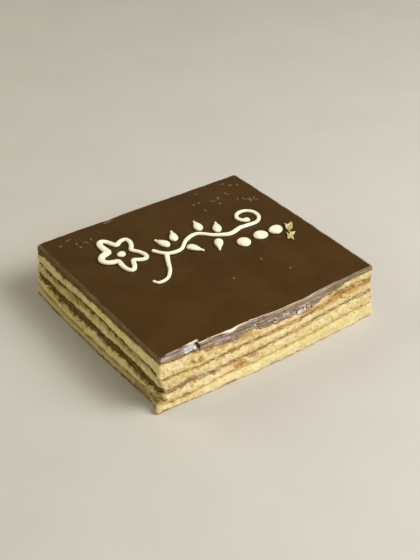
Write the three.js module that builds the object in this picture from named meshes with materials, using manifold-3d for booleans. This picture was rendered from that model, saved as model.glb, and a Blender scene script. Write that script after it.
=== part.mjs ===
// A square opera cake: four almond sponges with coffee cream and ganache between them, chocolate cream on
// top of those and a dark chocolate glaze over all. The sides are cut by hand, so they lean, bow and
// ripple, and the layers rise and dip. On the glaze lie three drops, a looped flower and a leafy vine,
// all piped in white chocolate, and two crumpled flakes of gold leaf.
// Millimetres, +Z up. The cake stands on z = 0 with its box centred on the Z axis.

import * as THREE from "three";
import { mergeVertices } from "three/addons/utils/BufferGeometryUtils.js";
import Module from "manifold-3d";

const wasm = await Module();
wasm.setup();

// ---- Driving dimensions ----

const WIDTH = 157;                  // left to right, along X
const DEPTH = 145;                  // front to back, along Y
const TOP = 36.9;                   // underside to the top of the glaze
const GAP = 0.3;                    // left free between pieces that touch
const CORNER_RADIUS = 1.6;          // of the cut corners, in plan
const SPONGE_BELLY = 0.5;           // how far a sponge's side swells past the cut
const SPONGE_EDGE = 0.2;            // how far its upper and lower edges draw in
const CREAM_RECESS = 0.5;           // how far a filling stays behind the cut
const GLAZE_LIP = 0.5;              // how far the glaze stands past the cut
const GLAZE_ROUND = 1.5;            // radius of the glaze's upper edge
const STATIONS = 11;                // steps along each side between its corners
const CORE = 0.88;                  // the inner ring of a layer's face, as a share of its outline

const CRACK = { x: -53, width: 1.3, depth: 5 };           // split in the glaze's front edge

const DROP_RADIUS = 4.6;
const DROP_HEIGHT = 2.7;
const DROP_PLACES = [[31.5, -2.9], [45, -2.6], [56.9, -3.2]];

const LINE = 3.1;                   // width of a piped line
const LINE_HEIGHT = 1.9;
const FLOWER = { x: -39, y: 32, across: 14, along: 20.5, petals: 5, dip: 0.46, centre: 0.62 };
const THICK_PETALS = { at: 0.42, reach: 0.16, extra: 0.55 };     // where the flower's line is thicker
const LEAF = { length: 12.5, width: 6, tip: 0.3, widest: 0.3 };
const FLAKES = [{ x: 66.5, y: -4.6, turn: 0.5, size: 4.2, rise: 2.1 },
  { x: 61, y: -13.6, turn: 0.1, size: 4.0, rise: 1.8 }];
const FLAKE_POINTS = 8;
const FLAKE_SHEET = 0.4;

// ---- The cut outline ----

// Where each corner stands at the foot and at the top, as an offset from the nominal rectangle.
const CORNERS = [
  { sign: [-1, -1], foot: [-0.4, 0], top: [1.5, 0.5] },
  { sign: [1, -1], foot: [1.7, 0.5], top: [1.6, 1.2] },
  { sign: [1, 1], foot: [1.5, 1.1], top: [0.5, 0] },
  { sign: [-1, 1], foot: [-1.9, 2.4], top: [2.2, 2] },
];

// How far the middle of each side bows out at the foot and at the top: front, right, back, left.
const BOWS = [[3.0, 0.2], [0.6, 0.9], [0.8, 0.3], [1.2, 0.4]];
const FRONT_BULGE = { at: 0.6, reach: 0.15, out: 2.2 };    // where the knife dragged the glaze outwards

const bump = (x, at, reach) => Math.exp(-(((x - at) / reach) ** 2));

function cornerAt(index, rise) {
  const { sign, foot, top } = CORNERS[index % 4];
  const nominal = new THREE.Vector2(sign[0] * WIDTH / 2, sign[1] * DEPTH / 2);
  return nominal.add(new THREE.Vector2(...foot).lerp(new THREE.Vector2(...top), rise));
}

// A point of the outline on one side, a share of the way along it, at height z, moved out by `out`.
function cutPoint(side, share, z, out) {
  const rise = z / TOP;
  const from = cornerAt(side, rise);
  const along = cornerAt(side + 1, rise).sub(from);
  const length = along.length();
  const outward = new THREE.Vector2(along.y, -along.x).normalize();
  const toCorner = Math.min(share, 1 - share) * length;
  const into = Math.max(0, CORNER_RADIUS - toCorner);
  const rounding = CORNER_RADIUS - Math.sqrt(CORNER_RADIUS ** 2 - into ** 2);
  let bow = THREE.MathUtils.lerp(BOWS[side][0], BOWS[side][1], rise) * Math.sin(Math.PI * share);
  if (side === 0) bow += FRONT_BULGE.out * rise * bump(share, FRONT_BULGE.at, FRONT_BULGE.reach);
  return from.addScaledVector(along, share).addScaledVector(outward, bow + out - rounding);
}

// The stations round the whole outline: each side's first corner point, its arc, then even steps.
function outlineStations() {
  const stations = [];
  for (let side = 0; side < 4; side++) {
    const length = side % 2 === 0 ? WIDTH : DEPTH;
    const corner = CORNER_RADIUS / length;
    const first = corner * (1 - Math.SQRT1_2);
    stations.push([side, first], [side, corner]);
    for (let step = 1; step < STATIONS; step++) {
      stations.push([side, corner + (1 - 2 * corner) * step / STATIONS]);
    }
    stations.push([side, 1 - corner]);
  }
  return stations;
}
const OUTLINE = outlineStations();

// ---- The surfaces between the layers ----

// Height at the front left, front right, back right and back left corner, then local swells, each at a
// share of the width and of the depth, with its reach and its rise.
const SURFACES = {
  spongeBottom: { corners: [6.0, 8.6, 7.4, 6.9], swells: [[0.6, 0, 0.2, 0.5], [0, 0.6, 0.25, -0.8]] },
  creamLower: { corners: [7.2, 9.8, 8.5, 8.0], swells: [[0.6, 0, 0.2, 0.6], [0, 0.6, 0.25, -0.8]] },
  spongeLower: { corners: [12.1, 17.4, 15.6, 13.4], swells: [[0.3, 0, 0.14, -0.9], [0.75, 0, 0.16, 1.1]] },
  ganache: { corners: [15.9, 19.4, 18.6, 16.5], swells: [[0.3, 0, 0.14, -1.6], [0, 0.34, 0.12, 1.3]] },
  spongeUpper: { corners: [22.8, 25.4, 24.4, 23.9], swells: [[0.5, 0, 0.2, -1.4], [0, 0.4, 0.15, 1.7]] },
  creamUpper: { corners: [24.5, 28.0, 26.2, 25.4], swells: [[0.5, 0, 0.2, -2.2], [0, 0.4, 0.15, 1.7]] },
  spongeTop: { corners: [33.0, 33.6, 32.6, 30.8], swells: [[0.55, 0, 0.2, -2.0]] },
  creamTop: { corners: [34.6, 34.9, 34.4, 33.4], swells: [[0.55, 0, 0.2, -0.6]] },
};

function surfaceHeight(name, x, y) {
  const across = THREE.MathUtils.clamp(x / WIDTH + 0.5, 0, 1);
  const back = THREE.MathUtils.clamp(y / DEPTH + 0.5, 0, 1);
  const [frontLeft, frontRight, backRight, backLeft] = SURFACES[name].corners;
  const front = THREE.MathUtils.lerp(frontLeft, frontRight, across);
  const rear = THREE.MathUtils.lerp(backLeft, backRight, across);
  const swell = SURFACES[name].swells.reduce(
    (sum, [atAcross, atBack, reach, rise]) =>
      sum + rise * bump(Math.hypot(across - atAcross, back - atBack), 0, reach), 0);
  return THREE.MathUtils.lerp(front, rear, back) + swell;
}

// A surface's height at a station, found on the leaning cut that it meets.
function heightAtCut(name, side, share) {
  const rough = cutPoint(side, share, TOP / 2, 0);
  return surfaceHeight(name, rough.x, rough.y);
}

// ---- Layers ----

// A ring well inside a face, on its surface. Without a surface's name the face is level, at the offset.
function innerRing(name, offset) {
  return OUTLINE.map(([side, share]) => {
    const z = name ? heightAtCut(name, side, share) : offset;
    const plan = cutPoint(side, share, z, 0).multiplyScalar(CORE);
    return [plan.x, plan.y, name ? surfaceHeight(name, plan.x, plan.y) + offset : offset];
  });
}

// The middle of a face.
function centre(name, offset) {
  return [0, 0, name ? surfaceHeight(name, 0, 0) + offset : offset];
}

// A closed body from rings that run from its lower centre out and up to its upper centre.
function shell(lowCentre, rings, highCentre) {
  const count = OUTLINE.length;
  const points = [lowCentre, ...rings.flat(), highCentre];
  const last = points.length - 1;
  const index = [];
  const at = (ring, i) => 1 + ring * count + (i % count);
  for (let i = 0; i < count; i++) {
    index.push(0, at(0, i + 1), at(0, i));
    for (let ring = 0; ring + 1 < rings.length; ring++) {
      index.push(at(ring, i), at(ring, i + 1), at(ring + 1, i + 1));
      index.push(at(ring, i), at(ring + 1, i + 1), at(ring + 1, i));
    }
    index.push(at(rings.length - 1, i), at(rings.length - 1, i + 1), last);
  }
  const geometry = new THREE.BufferGeometry();
  geometry.setAttribute("position", new THREE.Float32BufferAttribute(points.flat(), 3));
  geometry.setIndex(index);
  return geometry;
}

// A layer between two surfaces. `profile` lists its side from low to high as [share of height, out].
// A missing lower surface is the flat underside.
function layer(low, high, profile) {
  const lowOffset = low ? GAP / 2 : 0;
  const wall = profile.map(([part, out]) => OUTLINE.map(([side, share]) => {
    const bottom = low ? heightAtCut(low, side, share) + lowOffset : 0;
    const z = THREE.MathUtils.lerp(bottom, heightAtCut(high, side, share) - GAP / 2, part);
    const plan = cutPoint(side, share, z, out);
    return [plan.x, plan.y, z];
  }));
  return shell(centre(low, lowOffset), [innerRing(low, lowOffset), ...wall, innerRing(high, -GAP / 2)],
    centre(high, -GAP / 2));
}

const SPONGE_SIDE = [[0, -SPONGE_EDGE], [0.5, SPONGE_BELLY], [1, -SPONGE_EDGE]];
const CREAM_SIDE = [[0, -CREAM_RECESS], [1, -CREAM_RECESS]];

// The glaze: a level slab with a rounded upper edge, split at the front.
function glaze() {
  const round = (angle) => ({
    out: GLAZE_LIP - GLAZE_ROUND * (1 - Math.cos(angle)),
    z: TOP - GLAZE_ROUND * (1 - Math.sin(angle)),
  });
  const foot = OUTLINE.map(([side, share]) => {
    const z = heightAtCut("creamTop", side, share) + GAP / 2;
    const plan = cutPoint(side, share, z, GLAZE_LIP);
    return [plan.x, plan.y, z];
  });
  const edge = [0, Math.PI / 4, Math.PI / 2].map((angle) => OUTLINE.map(([side, share]) => {
    const { out, z } = round(angle);
    const plan = cutPoint(side, share, z, out);
    return [plan.x, plan.y, z];
  }));
  const slab = shell(centre("creamTop", GAP / 2), [innerRing("creamTop", GAP / 2), foot, ...edge],
    centre(null, TOP));
  const front = cutPoint(0, CRACK.x / WIDTH + 0.5, TOP, GLAZE_LIP).y;
  const wedge = new THREE.Shape([
    new THREE.Vector2(CRACK.x - CRACK.width, front - CRACK.depth),
    new THREE.Vector2(CRACK.x + CRACK.width, front - CRACK.depth),
    new THREE.Vector2(CRACK.x, front + CRACK.depth),
  ]);
  const knife = new THREE.ExtrudeGeometry(wedge, { depth: TOP, bevelEnabled: false });
  return fromSolid(toSolid(slab).subtract(toSolid(knife.translate(0, 0, TOP / 2))));
}

function toSolid(geometry) {
  const bare = geometry.clone();
  bare.deleteAttribute("normal");
  bare.deleteAttribute("uv");
  const merged = mergeVertices(bare);
  return new wasm.Manifold(new wasm.Mesh({
    numProp: 3,
    vertProperties: new Float32Array(merged.attributes.position.array),
    triVerts: new Uint32Array(merged.index.array),
  }));
}

function fromSolid(solid) {
  const mesh = solid.getMesh();
  const geometry = new THREE.BufferGeometry();
  geometry.setAttribute("position", new THREE.BufferAttribute(mesh.vertProperties, 3));
  geometry.setIndex(new THREE.BufferAttribute(mesh.triVerts, 1));
  return geometry;
}

// ---- Piping ----

// Half of a piped line's section, as [share of half width, share of height], flat side down.
const LINE_SECTION = [[-0.85, 0], [-1, 0.35], [-0.6, 0.84], [0, 1], [0.6, 0.84], [1, 0.35], [0.85, 0]];

// How an open line's end rounds off, as [share of the way in to full width, share of the section].
const LINE_END = [[0, 0.3], [0.35, 0.76]];

// A line piped along a curve in plan. widthAt gives its full width along the curve.
function pipedLine(curve, steps, widthAt, closed = false) {
  const length = curve.getLength();
  const end = (share) => Math.min(0.45, widthAt(share) / 2 / length);
  const stations = Array.from({ length: steps }, (_, step) => [closed ? step / steps :
    THREE.MathUtils.lerp(end(0), 1 - end(1), step / (steps - 1)), 1]);
  if (!closed) {
    stations.unshift(...LINE_END.map(([way, size]) => [end(0) * way, size]));
    stations.push(...LINE_END.map(([way, size]) => [1 - end(1) * way, size]).reverse());
  }
  const rings = stations.map(([share, size]) => {
    const point = curve.getPointAt(share);
    const tangent = curve.getTangentAt(share);
    const half = widthAt(share) / 2 * size;
    const tall = LINE_HEIGHT * Math.sqrt(widthAt(share) / LINE) * size;
    return LINE_SECTION.map(([across, up]) =>
      [point.x - tangent.y * across * half, point.y + tangent.x * across * half, up * tall]);
  });
  return tube(rings, closed);
}

// A closed body from the rings of a piped line.
function tube(rings, closed) {
  const count = LINE_SECTION.length;
  const index = [];
  const at = (ring, i) => (ring % rings.length) * count + (i % count);
  for (let ring = 0; ring < rings.length - (closed ? 0 : 1); ring++) {
    for (let i = 0; i < count; i++) {
      index.push(at(ring, i), at(ring + 1, i + 1), at(ring, i + 1));
      index.push(at(ring, i), at(ring + 1, i), at(ring + 1, i + 1));
    }
  }
  for (let i = 1; !closed && i + 1 < count; i++) {
    index.push(at(0, 0), at(0, i), at(0, i + 1));
    index.push(at(rings.length - 1, 0), at(rings.length - 1, i + 1), at(rings.length - 1, i));
  }
  const geometry = new THREE.BufferGeometry();
  geometry.setAttribute("position", new THREE.Float32BufferAttribute(rings.flat(2), 3));
  geometry.setIndex(index);
  return geometry;
}

const planCurve = (points, closed = false) =>
  new THREE.CatmullRomCurve3(points.map(([x, y]) => new THREE.Vector3(x, y, 0)), closed);

// The flower is one closed line that runs out round each petal and back in between them.
function flower() {
  const turns = 64;
  const points = Array.from({ length: turns }, (_, i) => {
    const angle = 2 * Math.PI * i / turns;
    const reach = 1 - FLOWER.dip * (1 + Math.cos(FLOWER.petals * angle)) / 2;
    return [FLOWER.x + FLOWER.across * reach * Math.cos(angle),
      FLOWER.y + FLOWER.along * reach * Math.sin(angle)];
  });
  const { at, reach: spread, extra } = THICK_PETALS;
  const widthAt = (share) => LINE * (1 + extra * bump(share, at, spread));
  return pipedLine(planCurve(points, true), turns, widthAt, true);
}

// A scroll: a line that curls in from a start point round a centre.
function scroll(x, y, radius, start, sweep, shrink) {
  const steps = 10;
  return Array.from({ length: steps + 1 }, (_, i) => {
    const share = i / steps;
    const angle = start + sweep * share;
    const reach = radius * (1 - shrink * share);
    return [x + reach * Math.cos(angle), y + reach * Math.sin(angle)];
  });
}

// The vine's stem waves from the flower to a closing scroll, and a tail drops from its start.
const STEM = [[-21.5, 24], [-15, 15], [-6, 14], [3, 21], [12, 23.5], [21, 15.5], [30, 10.5], [40, 12.5]];
const END_SCROLL = scroll(50.5, 21.5, 10.4, -2.0, 6.9, 0.66);
const TAIL = [[-15.6, 15.6], [-20, 7], [-24.5, -2], [-30.5, -8], [-37, -8.6], [-39, -4.6]];
const LEAVES = [[-11.5, 27.5, 1.9], [-1, 30.5, 1.2], [2.5, 9.5, -1.0], [18.5, 31.5, 1.35], [28, 22.5, 1.1],
  [17, 4.2, -2.1]];

function vine() {
  const stem = pipedLine(planCurve([...STEM, ...END_SCROLL]), 62, (share) =>
    LINE * (0.9 + 0.6 * bump(share, 1, 0.035) + 0.25 * bump(share, 0.5, 0.1)));
  const tail = pipedLine(planCurve(TAIL), 14, (share) => LINE * (1.05 - 0.4 * share));
  return fromSolid(toSolid(stem).add(toSolid(tail)));
}

// A leaf is a drop drawn out to a point, widest near its foot.
function leaf(turn) {
  const half = new THREE.Vector2(LEAF.length / 2, 0).rotateAround(new THREE.Vector2(), turn);
  const curve = planCurve([[-half.x, -half.y], [0, 0], [half.x, half.y]]);
  const swell = (share) => Math.sin(Math.PI * Math.min(1, share + 0.5 - LEAF.widest));
  return pipedLine(curve, 7, (share) => LEAF.width * THREE.MathUtils.lerp(LEAF.tip, 1, swell(share)));
}

// A domed drop, as it runs flat and sets.
function drop(scale = 1) {
  const profile = [[0, 0], [0.86, 0], [1, 0.2], [0.93, 0.52], [0.68, 0.84], [0.34, 0.97], [0, 1]];
  const points = profile.map(([r, z]) => new THREE.Vector2(r * DROP_RADIUS, z * DROP_HEIGHT));
  return new THREE.LatheGeometry(points, 18).rotateX(Math.PI / 2).scale(scale, scale, scale);
}

// ---- Gold leaf ----

// A crumpled flake: a thin sheet whose rim points alternate far and near, high and low.
function flake(size, rise) {
  const rim = Array.from({ length: FLAKE_POINTS }, (_, i) => {
    const angle = 2 * Math.PI * i / FLAKE_POINTS;
    const reach = size * (i % 2 === 0 ? 1 : 0.55) * (1 + 0.12 * Math.sin(3 * i));
    return [reach * Math.cos(angle), reach * Math.sin(angle), i % 2 === 0 ? rise : 0];
  });
  const under = [[0, 0, rise * 0.6], ...rim];
  const top = under.map(([x, y, z]) => [x, y, z + FLAKE_SHEET]);
  const count = FLAKE_POINTS + 1;
  const index = [];
  for (let i = 0; i < FLAKE_POINTS; i++) {
    const a = 1 + i;
    const b = 1 + ((i + 1) % FLAKE_POINTS);
    index.push(0, a, b, count, count + b, count + a);
    index.push(a, count + a, count + b, a, count + b, b);
  }
  const geometry = new THREE.BufferGeometry();
  geometry.setAttribute("position", new THREE.Float32BufferAttribute([...top, ...under].flat(), 3));
  geometry.setIndex(index);
  return geometry;
}

// ---- Assembly ----

const finish = (color, roughness, metalness = 0) =>
  new THREE.MeshStandardMaterial({ color, roughness, metalness });
const MATERIALS = {
  sponge: finish(0xe9d48c, 0.95),
  coffeeCream: finish(0xa9803f, 0.6),
  ganache: finish(0x4a2f1c, 0.5),
  chocolateCream: finish(0x5c4634, 0.6),
  glaze: finish(0x46301b, 0.3),
  whiteChocolate: finish(0xf5f0d8, 0.4),
  goldLeaf: finish(0xd2b45a, 0.35, 1),
};

const cake = new THREE.Group();

function addPiece(name, geometry, material, x = 0, y = 0, z = 0, turn = 0) {
  const mesh = new THREE.Mesh(geometry, material);
  mesh.name = name;
  mesh.position.set(x, y, z);
  mesh.rotation.z = turn;
  cake.add(mesh);
}

addPiece("sponge_bottom", layer(null, "spongeBottom", SPONGE_SIDE), MATERIALS.sponge);
addPiece("coffee_cream_lower", layer("spongeBottom", "creamLower", CREAM_SIDE), MATERIALS.coffeeCream);
addPiece("sponge_lower", layer("creamLower", "spongeLower", SPONGE_SIDE), MATERIALS.sponge);
addPiece("ganache_middle", layer("spongeLower", "ganache", CREAM_SIDE), MATERIALS.ganache);
addPiece("sponge_upper", layer("ganache", "spongeUpper", SPONGE_SIDE), MATERIALS.sponge);
addPiece("coffee_cream_upper", layer("spongeUpper", "creamUpper", CREAM_SIDE), MATERIALS.coffeeCream);
addPiece("sponge_top", layer("creamUpper", "spongeTop", SPONGE_SIDE), MATERIALS.sponge);
addPiece("chocolate_cream_top", layer("spongeTop", "creamTop", CREAM_SIDE), MATERIALS.chocolateCream);
addPiece("chocolate_glaze", glaze(), MATERIALS.glaze);

const ON_GLAZE = TOP + GAP;
addPiece("piped_flower", flower(), MATERIALS.whiteChocolate, 0, 0, ON_GLAZE);
addPiece("piped_flower_centre", drop(FLOWER.centre), MATERIALS.whiteChocolate, FLOWER.x, FLOWER.y,
  ON_GLAZE);
addPiece("piped_vine", vine(), MATERIALS.whiteChocolate, 0, 0, ON_GLAZE);
LEAVES.forEach(([x, y, turn], i) =>
  addPiece(`piped_leaf_${i + 1}`, leaf(turn), MATERIALS.whiteChocolate, x, y, ON_GLAZE));
DROP_PLACES.forEach(([x, y], i) =>
  addPiece(`piped_drop_${i + 1}`, drop(), MATERIALS.whiteChocolate, x, y, ON_GLAZE));
FLAKES.forEach(({ x, y, turn, size, rise }, i) =>
  addPiece(`gold_flake_${i + 1}`, flake(size, rise), MATERIALS.goldLeaf, x, y, ON_GLAZE, turn));

export default cake;
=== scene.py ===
"""A square opera cake: four almond sponges with coffee cream and ganache between them, chocolate cream and a
dark glaze on top, white chocolate piping and drops, and two flakes of gold leaf.

Shapes are worked out in millimetres, as in the CAD, and MM turns them into Blender's metres. The outline of
the cut and the surfaces between the layers repeat the CAD's, so each piece lies where its CAD node is."""

import itertools
import math

import bmesh
import bpy
import numpy as np
from mathutils import Euler, Matrix, Vector


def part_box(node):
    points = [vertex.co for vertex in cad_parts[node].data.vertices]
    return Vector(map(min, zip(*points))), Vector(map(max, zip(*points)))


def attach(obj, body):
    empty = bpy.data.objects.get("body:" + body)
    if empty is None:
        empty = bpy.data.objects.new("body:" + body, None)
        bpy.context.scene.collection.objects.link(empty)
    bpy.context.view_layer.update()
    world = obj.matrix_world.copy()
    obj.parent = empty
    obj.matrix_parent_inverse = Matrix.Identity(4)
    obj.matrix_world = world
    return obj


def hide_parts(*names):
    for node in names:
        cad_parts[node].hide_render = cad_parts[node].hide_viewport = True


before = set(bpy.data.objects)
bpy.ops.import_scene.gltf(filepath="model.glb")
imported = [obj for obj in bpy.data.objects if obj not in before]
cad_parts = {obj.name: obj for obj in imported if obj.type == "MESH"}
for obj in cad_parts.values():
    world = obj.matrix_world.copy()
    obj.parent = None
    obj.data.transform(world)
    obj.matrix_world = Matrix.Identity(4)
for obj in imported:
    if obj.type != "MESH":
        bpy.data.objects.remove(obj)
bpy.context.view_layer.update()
MM = 0.001

# ---- Camera ----

CAMERA_PLACE = Vector((-322.87, -483.37, 425.16))       # millimetres
CAMERA_HEADING = math.radians(-34.28)                   # from +Y, positive towards -X
CAMERA_DIP = math.radians(34.92)
CAMERA_ROLL = math.radians(-1.15)
FOCAL_PIXELS, PICTURE_HEIGHT, SENSOR = 1109.8, 560, 36


def add_camera():
    data = bpy.data.cameras.new("camera")
    data.sensor_width = SENSOR
    data.lens = FOCAL_PIXELS / PICTURE_HEIGHT * SENSOR
    data.clip_start = 0.01
    camera = bpy.data.objects.new("camera", data)
    bpy.context.scene.collection.objects.link(camera)
    facing = Euler((math.pi / 2 - CAMERA_DIP, 0, CAMERA_HEADING)).to_matrix()
    turned = facing @ Matrix.Rotation(CAMERA_ROLL, 3, "Z")
    camera.matrix_world = Matrix.Translation(CAMERA_PLACE * MM) @ turned.to_4x4()
    bpy.context.scene.camera = camera


add_camera()

# ---- Noise ----


def lerp(a, b, share):
    return a + (b - a) * share


def smooth(x):
    """0 below 0, 1 above 1, and a soft step between."""
    x = np.clip(x, 0, 1)
    return x * x * (3 - 2 * x)


def bump(x, at, reach):
    """A rounded peak of 1 at a place, which falls off over its reach."""
    return np.exp(-(((x - at) / reach) ** 2))


def at_height(plan, z=0.0):
    """Points in plan as points at a height."""
    return np.concatenate([plan, np.full(plan.shape[:-1] + (1,), z)], axis=-1)


def hashed(cells, seed):
    """A fixed number from 0 to 1 for each whole-numbered cell."""
    x, y, z = cells[..., 0], cells[..., 1], cells[..., 2]
    n = (x * 73856093) ^ (y * 19349663) ^ (z * 83492791) ^ (seed * 2654435761)
    n = ((n & 0xFFFFFFFF) ^ (n >> 13 & 0x7FFFF)) * 1274126177 & 0xFFFFFFFF
    n = (n ^ (n >> 15)) * 668265263 & 0xFFFFFFFF
    return ((n ^ (n >> 14)) & 0xFFFFFF) / 0xFFFFFF


def noise(points, size, seed):
    """Smooth noise from -1 to 1, whose features have that size in millimetres (one number or three)."""
    place = points / np.array(size, float)
    base = np.floor(place).astype(np.int64)
    part = place - base
    part = part**3 * (part * (part * 6 - 15) + 10)
    total = np.zeros(place.shape[:-1])
    for corner in itertools.product((0, 1), repeat=3):
        weight = np.prod(np.where(corner, part, 1 - part), axis=-1)
        total += weight * hashed(base + np.array(corner), seed)
    return 2 * total - 1


def fractal(points, size, seed, octaves=3):
    """Noise of several sizes, each half the one before and half as strong."""
    size = np.array(size, float)
    layers = [noise(points, size / 2**k, seed + k) / 2**k for k in range(octaves)]
    return sum(layers) / sum(0.5**k for k in range(octaves))


def pits(points, cell, seed, widest=0.5):
    """Round holes, at most one to a cell of that size: 1 in the middle of a hole and 0 outside it."""
    place = points / np.array(cell, float)
    base = np.floor(place).astype(np.int64)
    deepest = np.zeros(place.shape[:-1])
    for step in itertools.product((-1, 0, 1), repeat=3):
        near = base + np.array(step)
        middle = near + np.stack([0.2 + 0.6 * hashed(near, seed + k) for k in range(3)], axis=-1)
        radius = widest * hashed(near, seed + 3) ** 1.5 + 0.01
        away = np.linalg.norm(place - middle, axis=-1) / radius
        deepest = np.maximum(deepest, 1 - away**2)
    return deepest


# ---- The outline of the cut, as in the CAD ----

FRONT, RIGHT, BACK, LEFT = range(4)
WIDTH, DEPTH = 157, 145
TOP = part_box("chocolate_glaze")[1].z / MM
CORNER_RADIUS = 1.6
# How far each corner lies from its nominal place, and each side bows out, at the foot and at the top.
CORNER_SIGNS = np.array([[-1, -1], [1, -1], [1, 1], [-1, 1]])
CORNER_FOOT = np.array([[-0.4, 0], [1.7, 0.5], [1.5, 1.1], [-1.9, 2.4]])
CORNER_TOP = np.array([[1.5, 0.5], [1.6, 1.2], [0.5, 0], [2.2, 2]])
BOW_FOOT = np.array([3.0, 0.6, 0.8, 1.2])
BOW_TOP = np.array([0.2, 0.9, 0.3, 0.4])
BULGE_AT, BULGE_REACH, BULGE_OUT = 0.6, 0.15, 2.2       # of the front, in shares of its length, and out

COLUMN_STEP = 0.46          # between columns of points along a side
CORNER_STEPS = 5            # columns on half a corner's arc


def outline_columns():
    """The side of each column of points round the cut, and how far along the side it stands."""
    sides, shares = [], []
    for side in range(4):
        length = WIDTH if side % 2 == 0 else DEPTH
        angles = np.linspace(math.pi / 4, math.pi / 2, CORNER_STEPS, endpoint=False)
        arc = CORNER_RADIUS * (1 - np.cos(angles)) / length
        corner = CORNER_RADIUS / length
        straight = np.linspace(corner, 1 - corner, round((length - 2 * CORNER_RADIUS) / COLUMN_STEP))
        along = np.concatenate([arc, straight, 1 - arc[:0:-1]])
        shares.append(along)
        sides.append(np.full(len(along), side))
    return np.concatenate(sides), np.concatenate(shares)


SIDE, SHARE = outline_columns()


def corner_at(index, rise):
    """Where a corner of the cut stands in plan, at a share of the cake's height."""
    index = index % 4
    nominal = CORNER_SIGNS[index] * np.array([WIDTH / 2, DEPTH / 2])
    return nominal + lerp(CORNER_FOOT[index], CORNER_TOP[index], rise[..., None])


def cut_plan(z):
    """Where the cut stands in plan at each column, for heights with one value to a column."""
    rise = z / TOP
    start = corner_at(SIDE, rise)
    along = corner_at(SIDE + 1, rise) - start
    length = np.linalg.norm(along, axis=-1)
    outward = np.stack([along[..., 1], -along[..., 0]], axis=-1) / length[..., None]
    into = np.maximum(0, CORNER_RADIUS - np.minimum(SHARE, 1 - SHARE) * length)
    rounding = CORNER_RADIUS - np.sqrt(CORNER_RADIUS**2 - into**2)
    bow = lerp(BOW_FOOT[SIDE], BOW_TOP[SIDE], rise) * np.sin(math.pi * SHARE)
    bow = bow + (SIDE == FRONT) * BULGE_OUT * rise * bump(SHARE, BULGE_AT, BULGE_REACH)
    return start + along * SHARE[..., None] + outward * (bow - rounding)[..., None]


MID_PLAN = cut_plan(np.full(len(SIDE), TOP / 2))
COLUMNS = len(SIDE)


def outward_normals():
    ahead, behind = np.roll(MID_PLAN, -2, axis=0), np.roll(MID_PLAN, 2, axis=0)
    tangent = ahead - behind
    normal = np.stack([tangent[:, 1], -tangent[:, 0]], axis=-1)
    return normal / np.linalg.norm(normal, axis=-1, keepdims=True)


def distances(points):
    """How far along a line each of its points stands."""
    return np.concatenate([[0], np.cumsum(np.linalg.norm(np.diff(points, axis=0), axis=-1))])


NORMALS = outward_normals()
# How far round the cut each column stands, and then the whole way round.
ROUND = distances(np.concatenate([MID_PLAN, MID_PLAN[:1]]))
SIDE_START = np.array([ROUND[np.argmax(SIDE == side)] for side in range(4)])


def away_from(side, along):
    """How far each column stands from a place on a side, round the cut, negative before it."""
    whole = ROUND[-1]
    return (ROUND[:-1] - SIDE_START[side] - along + whole / 2) % whole - whole / 2


# How far the two ends of the front stand out along it: height, millimetres outwards.
LEFT_END = ((0, 3.0), (5, 2.5), (9, -3.0), (14, -2.0), (20, -0.5), (25, 2.0), (30, 0.5), (34, 0))
RIGHT_END = ((0, 2.0), (5, 1.5), (17, 1.5), (22, -1.0), (27, 0), (30, 1.0), (36, 0))
END_REACH, END_TURN = 6.0, 3.5      # how far that goes along the front, and round the corner


def ends_out(z):
    """How far the ends of the front shift the cut along x."""
    reach = np.where(SIDE == FRONT, END_REACH, END_TURN)
    left = np.interp(z, *zip(*LEFT_END)) * smooth(1 - np.abs(away_from(FRONT, 0)) / reach)
    right = np.interp(z, *zip(*RIGHT_END)) * smooth(1 - np.abs(away_from(RIGHT, 0)) / reach)
    return right - left


# ---- The surfaces between the layers ----

# The CAD's heights at the front left, front right, back right and back left corner, then its swells, each at
# a share of the width and of the depth, with its reach and its rise.
SURFACES = {
    "spongeBottom": ((6.0, 8.6, 7.4, 6.9), ((0.6, 0, 0.2, 0.5), (0, 0.6, 0.25, -0.8))),
    "creamLower": ((7.2, 9.8, 8.5, 8.0), ((0.6, 0, 0.2, 0.6), (0, 0.6, 0.25, -0.8))),
    "spongeLower": ((12.1, 17.4, 15.6, 13.4), ((0.3, 0, 0.14, -0.9), (0.75, 0, 0.16, 1.1))),
    "ganache": ((15.9, 19.4, 18.6, 16.5), ((0.3, 0, 0.14, -1.6), (0, 0.34, 0.12, 1.3))),
    "spongeUpper": ((22.8, 25.4, 24.4, 23.9), ((0.5, 0, 0.2, -1.4), (0, 0.4, 0.15, 1.7))),
    "creamUpper": ((24.5, 28.0, 26.2, 25.4), ((0.5, 0, 0.2, -2.2), (0, 0.4, 0.15, 1.7))),
    "spongeTop": ((33.0, 33.6, 32.6, 30.8), ((0.55, 0, 0.2, -2.0),)),
    "creamTop": ((34.6, 34.9, 34.4, 33.4), ((0.55, 0, 0.2, -0.6),)),
}

# Where a surface rises or dips on the right and back sides: side, millimetres along it, reach and rise.
WAVES = {
    "spongeLower": ((RIGHT, 40, 9, 0.9), (BACK, 60, 10, -0.8)),
    "ganache": ((RIGHT, 70, 12, 0.8), (BACK, 110, 10, 0.9)),
    "spongeUpper": ((RIGHT, 95, 10, -0.7), (BACK, 30, 12, 0.6)),
    "creamUpper": ((RIGHT, 95, 8, 0.8),),
}

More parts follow.
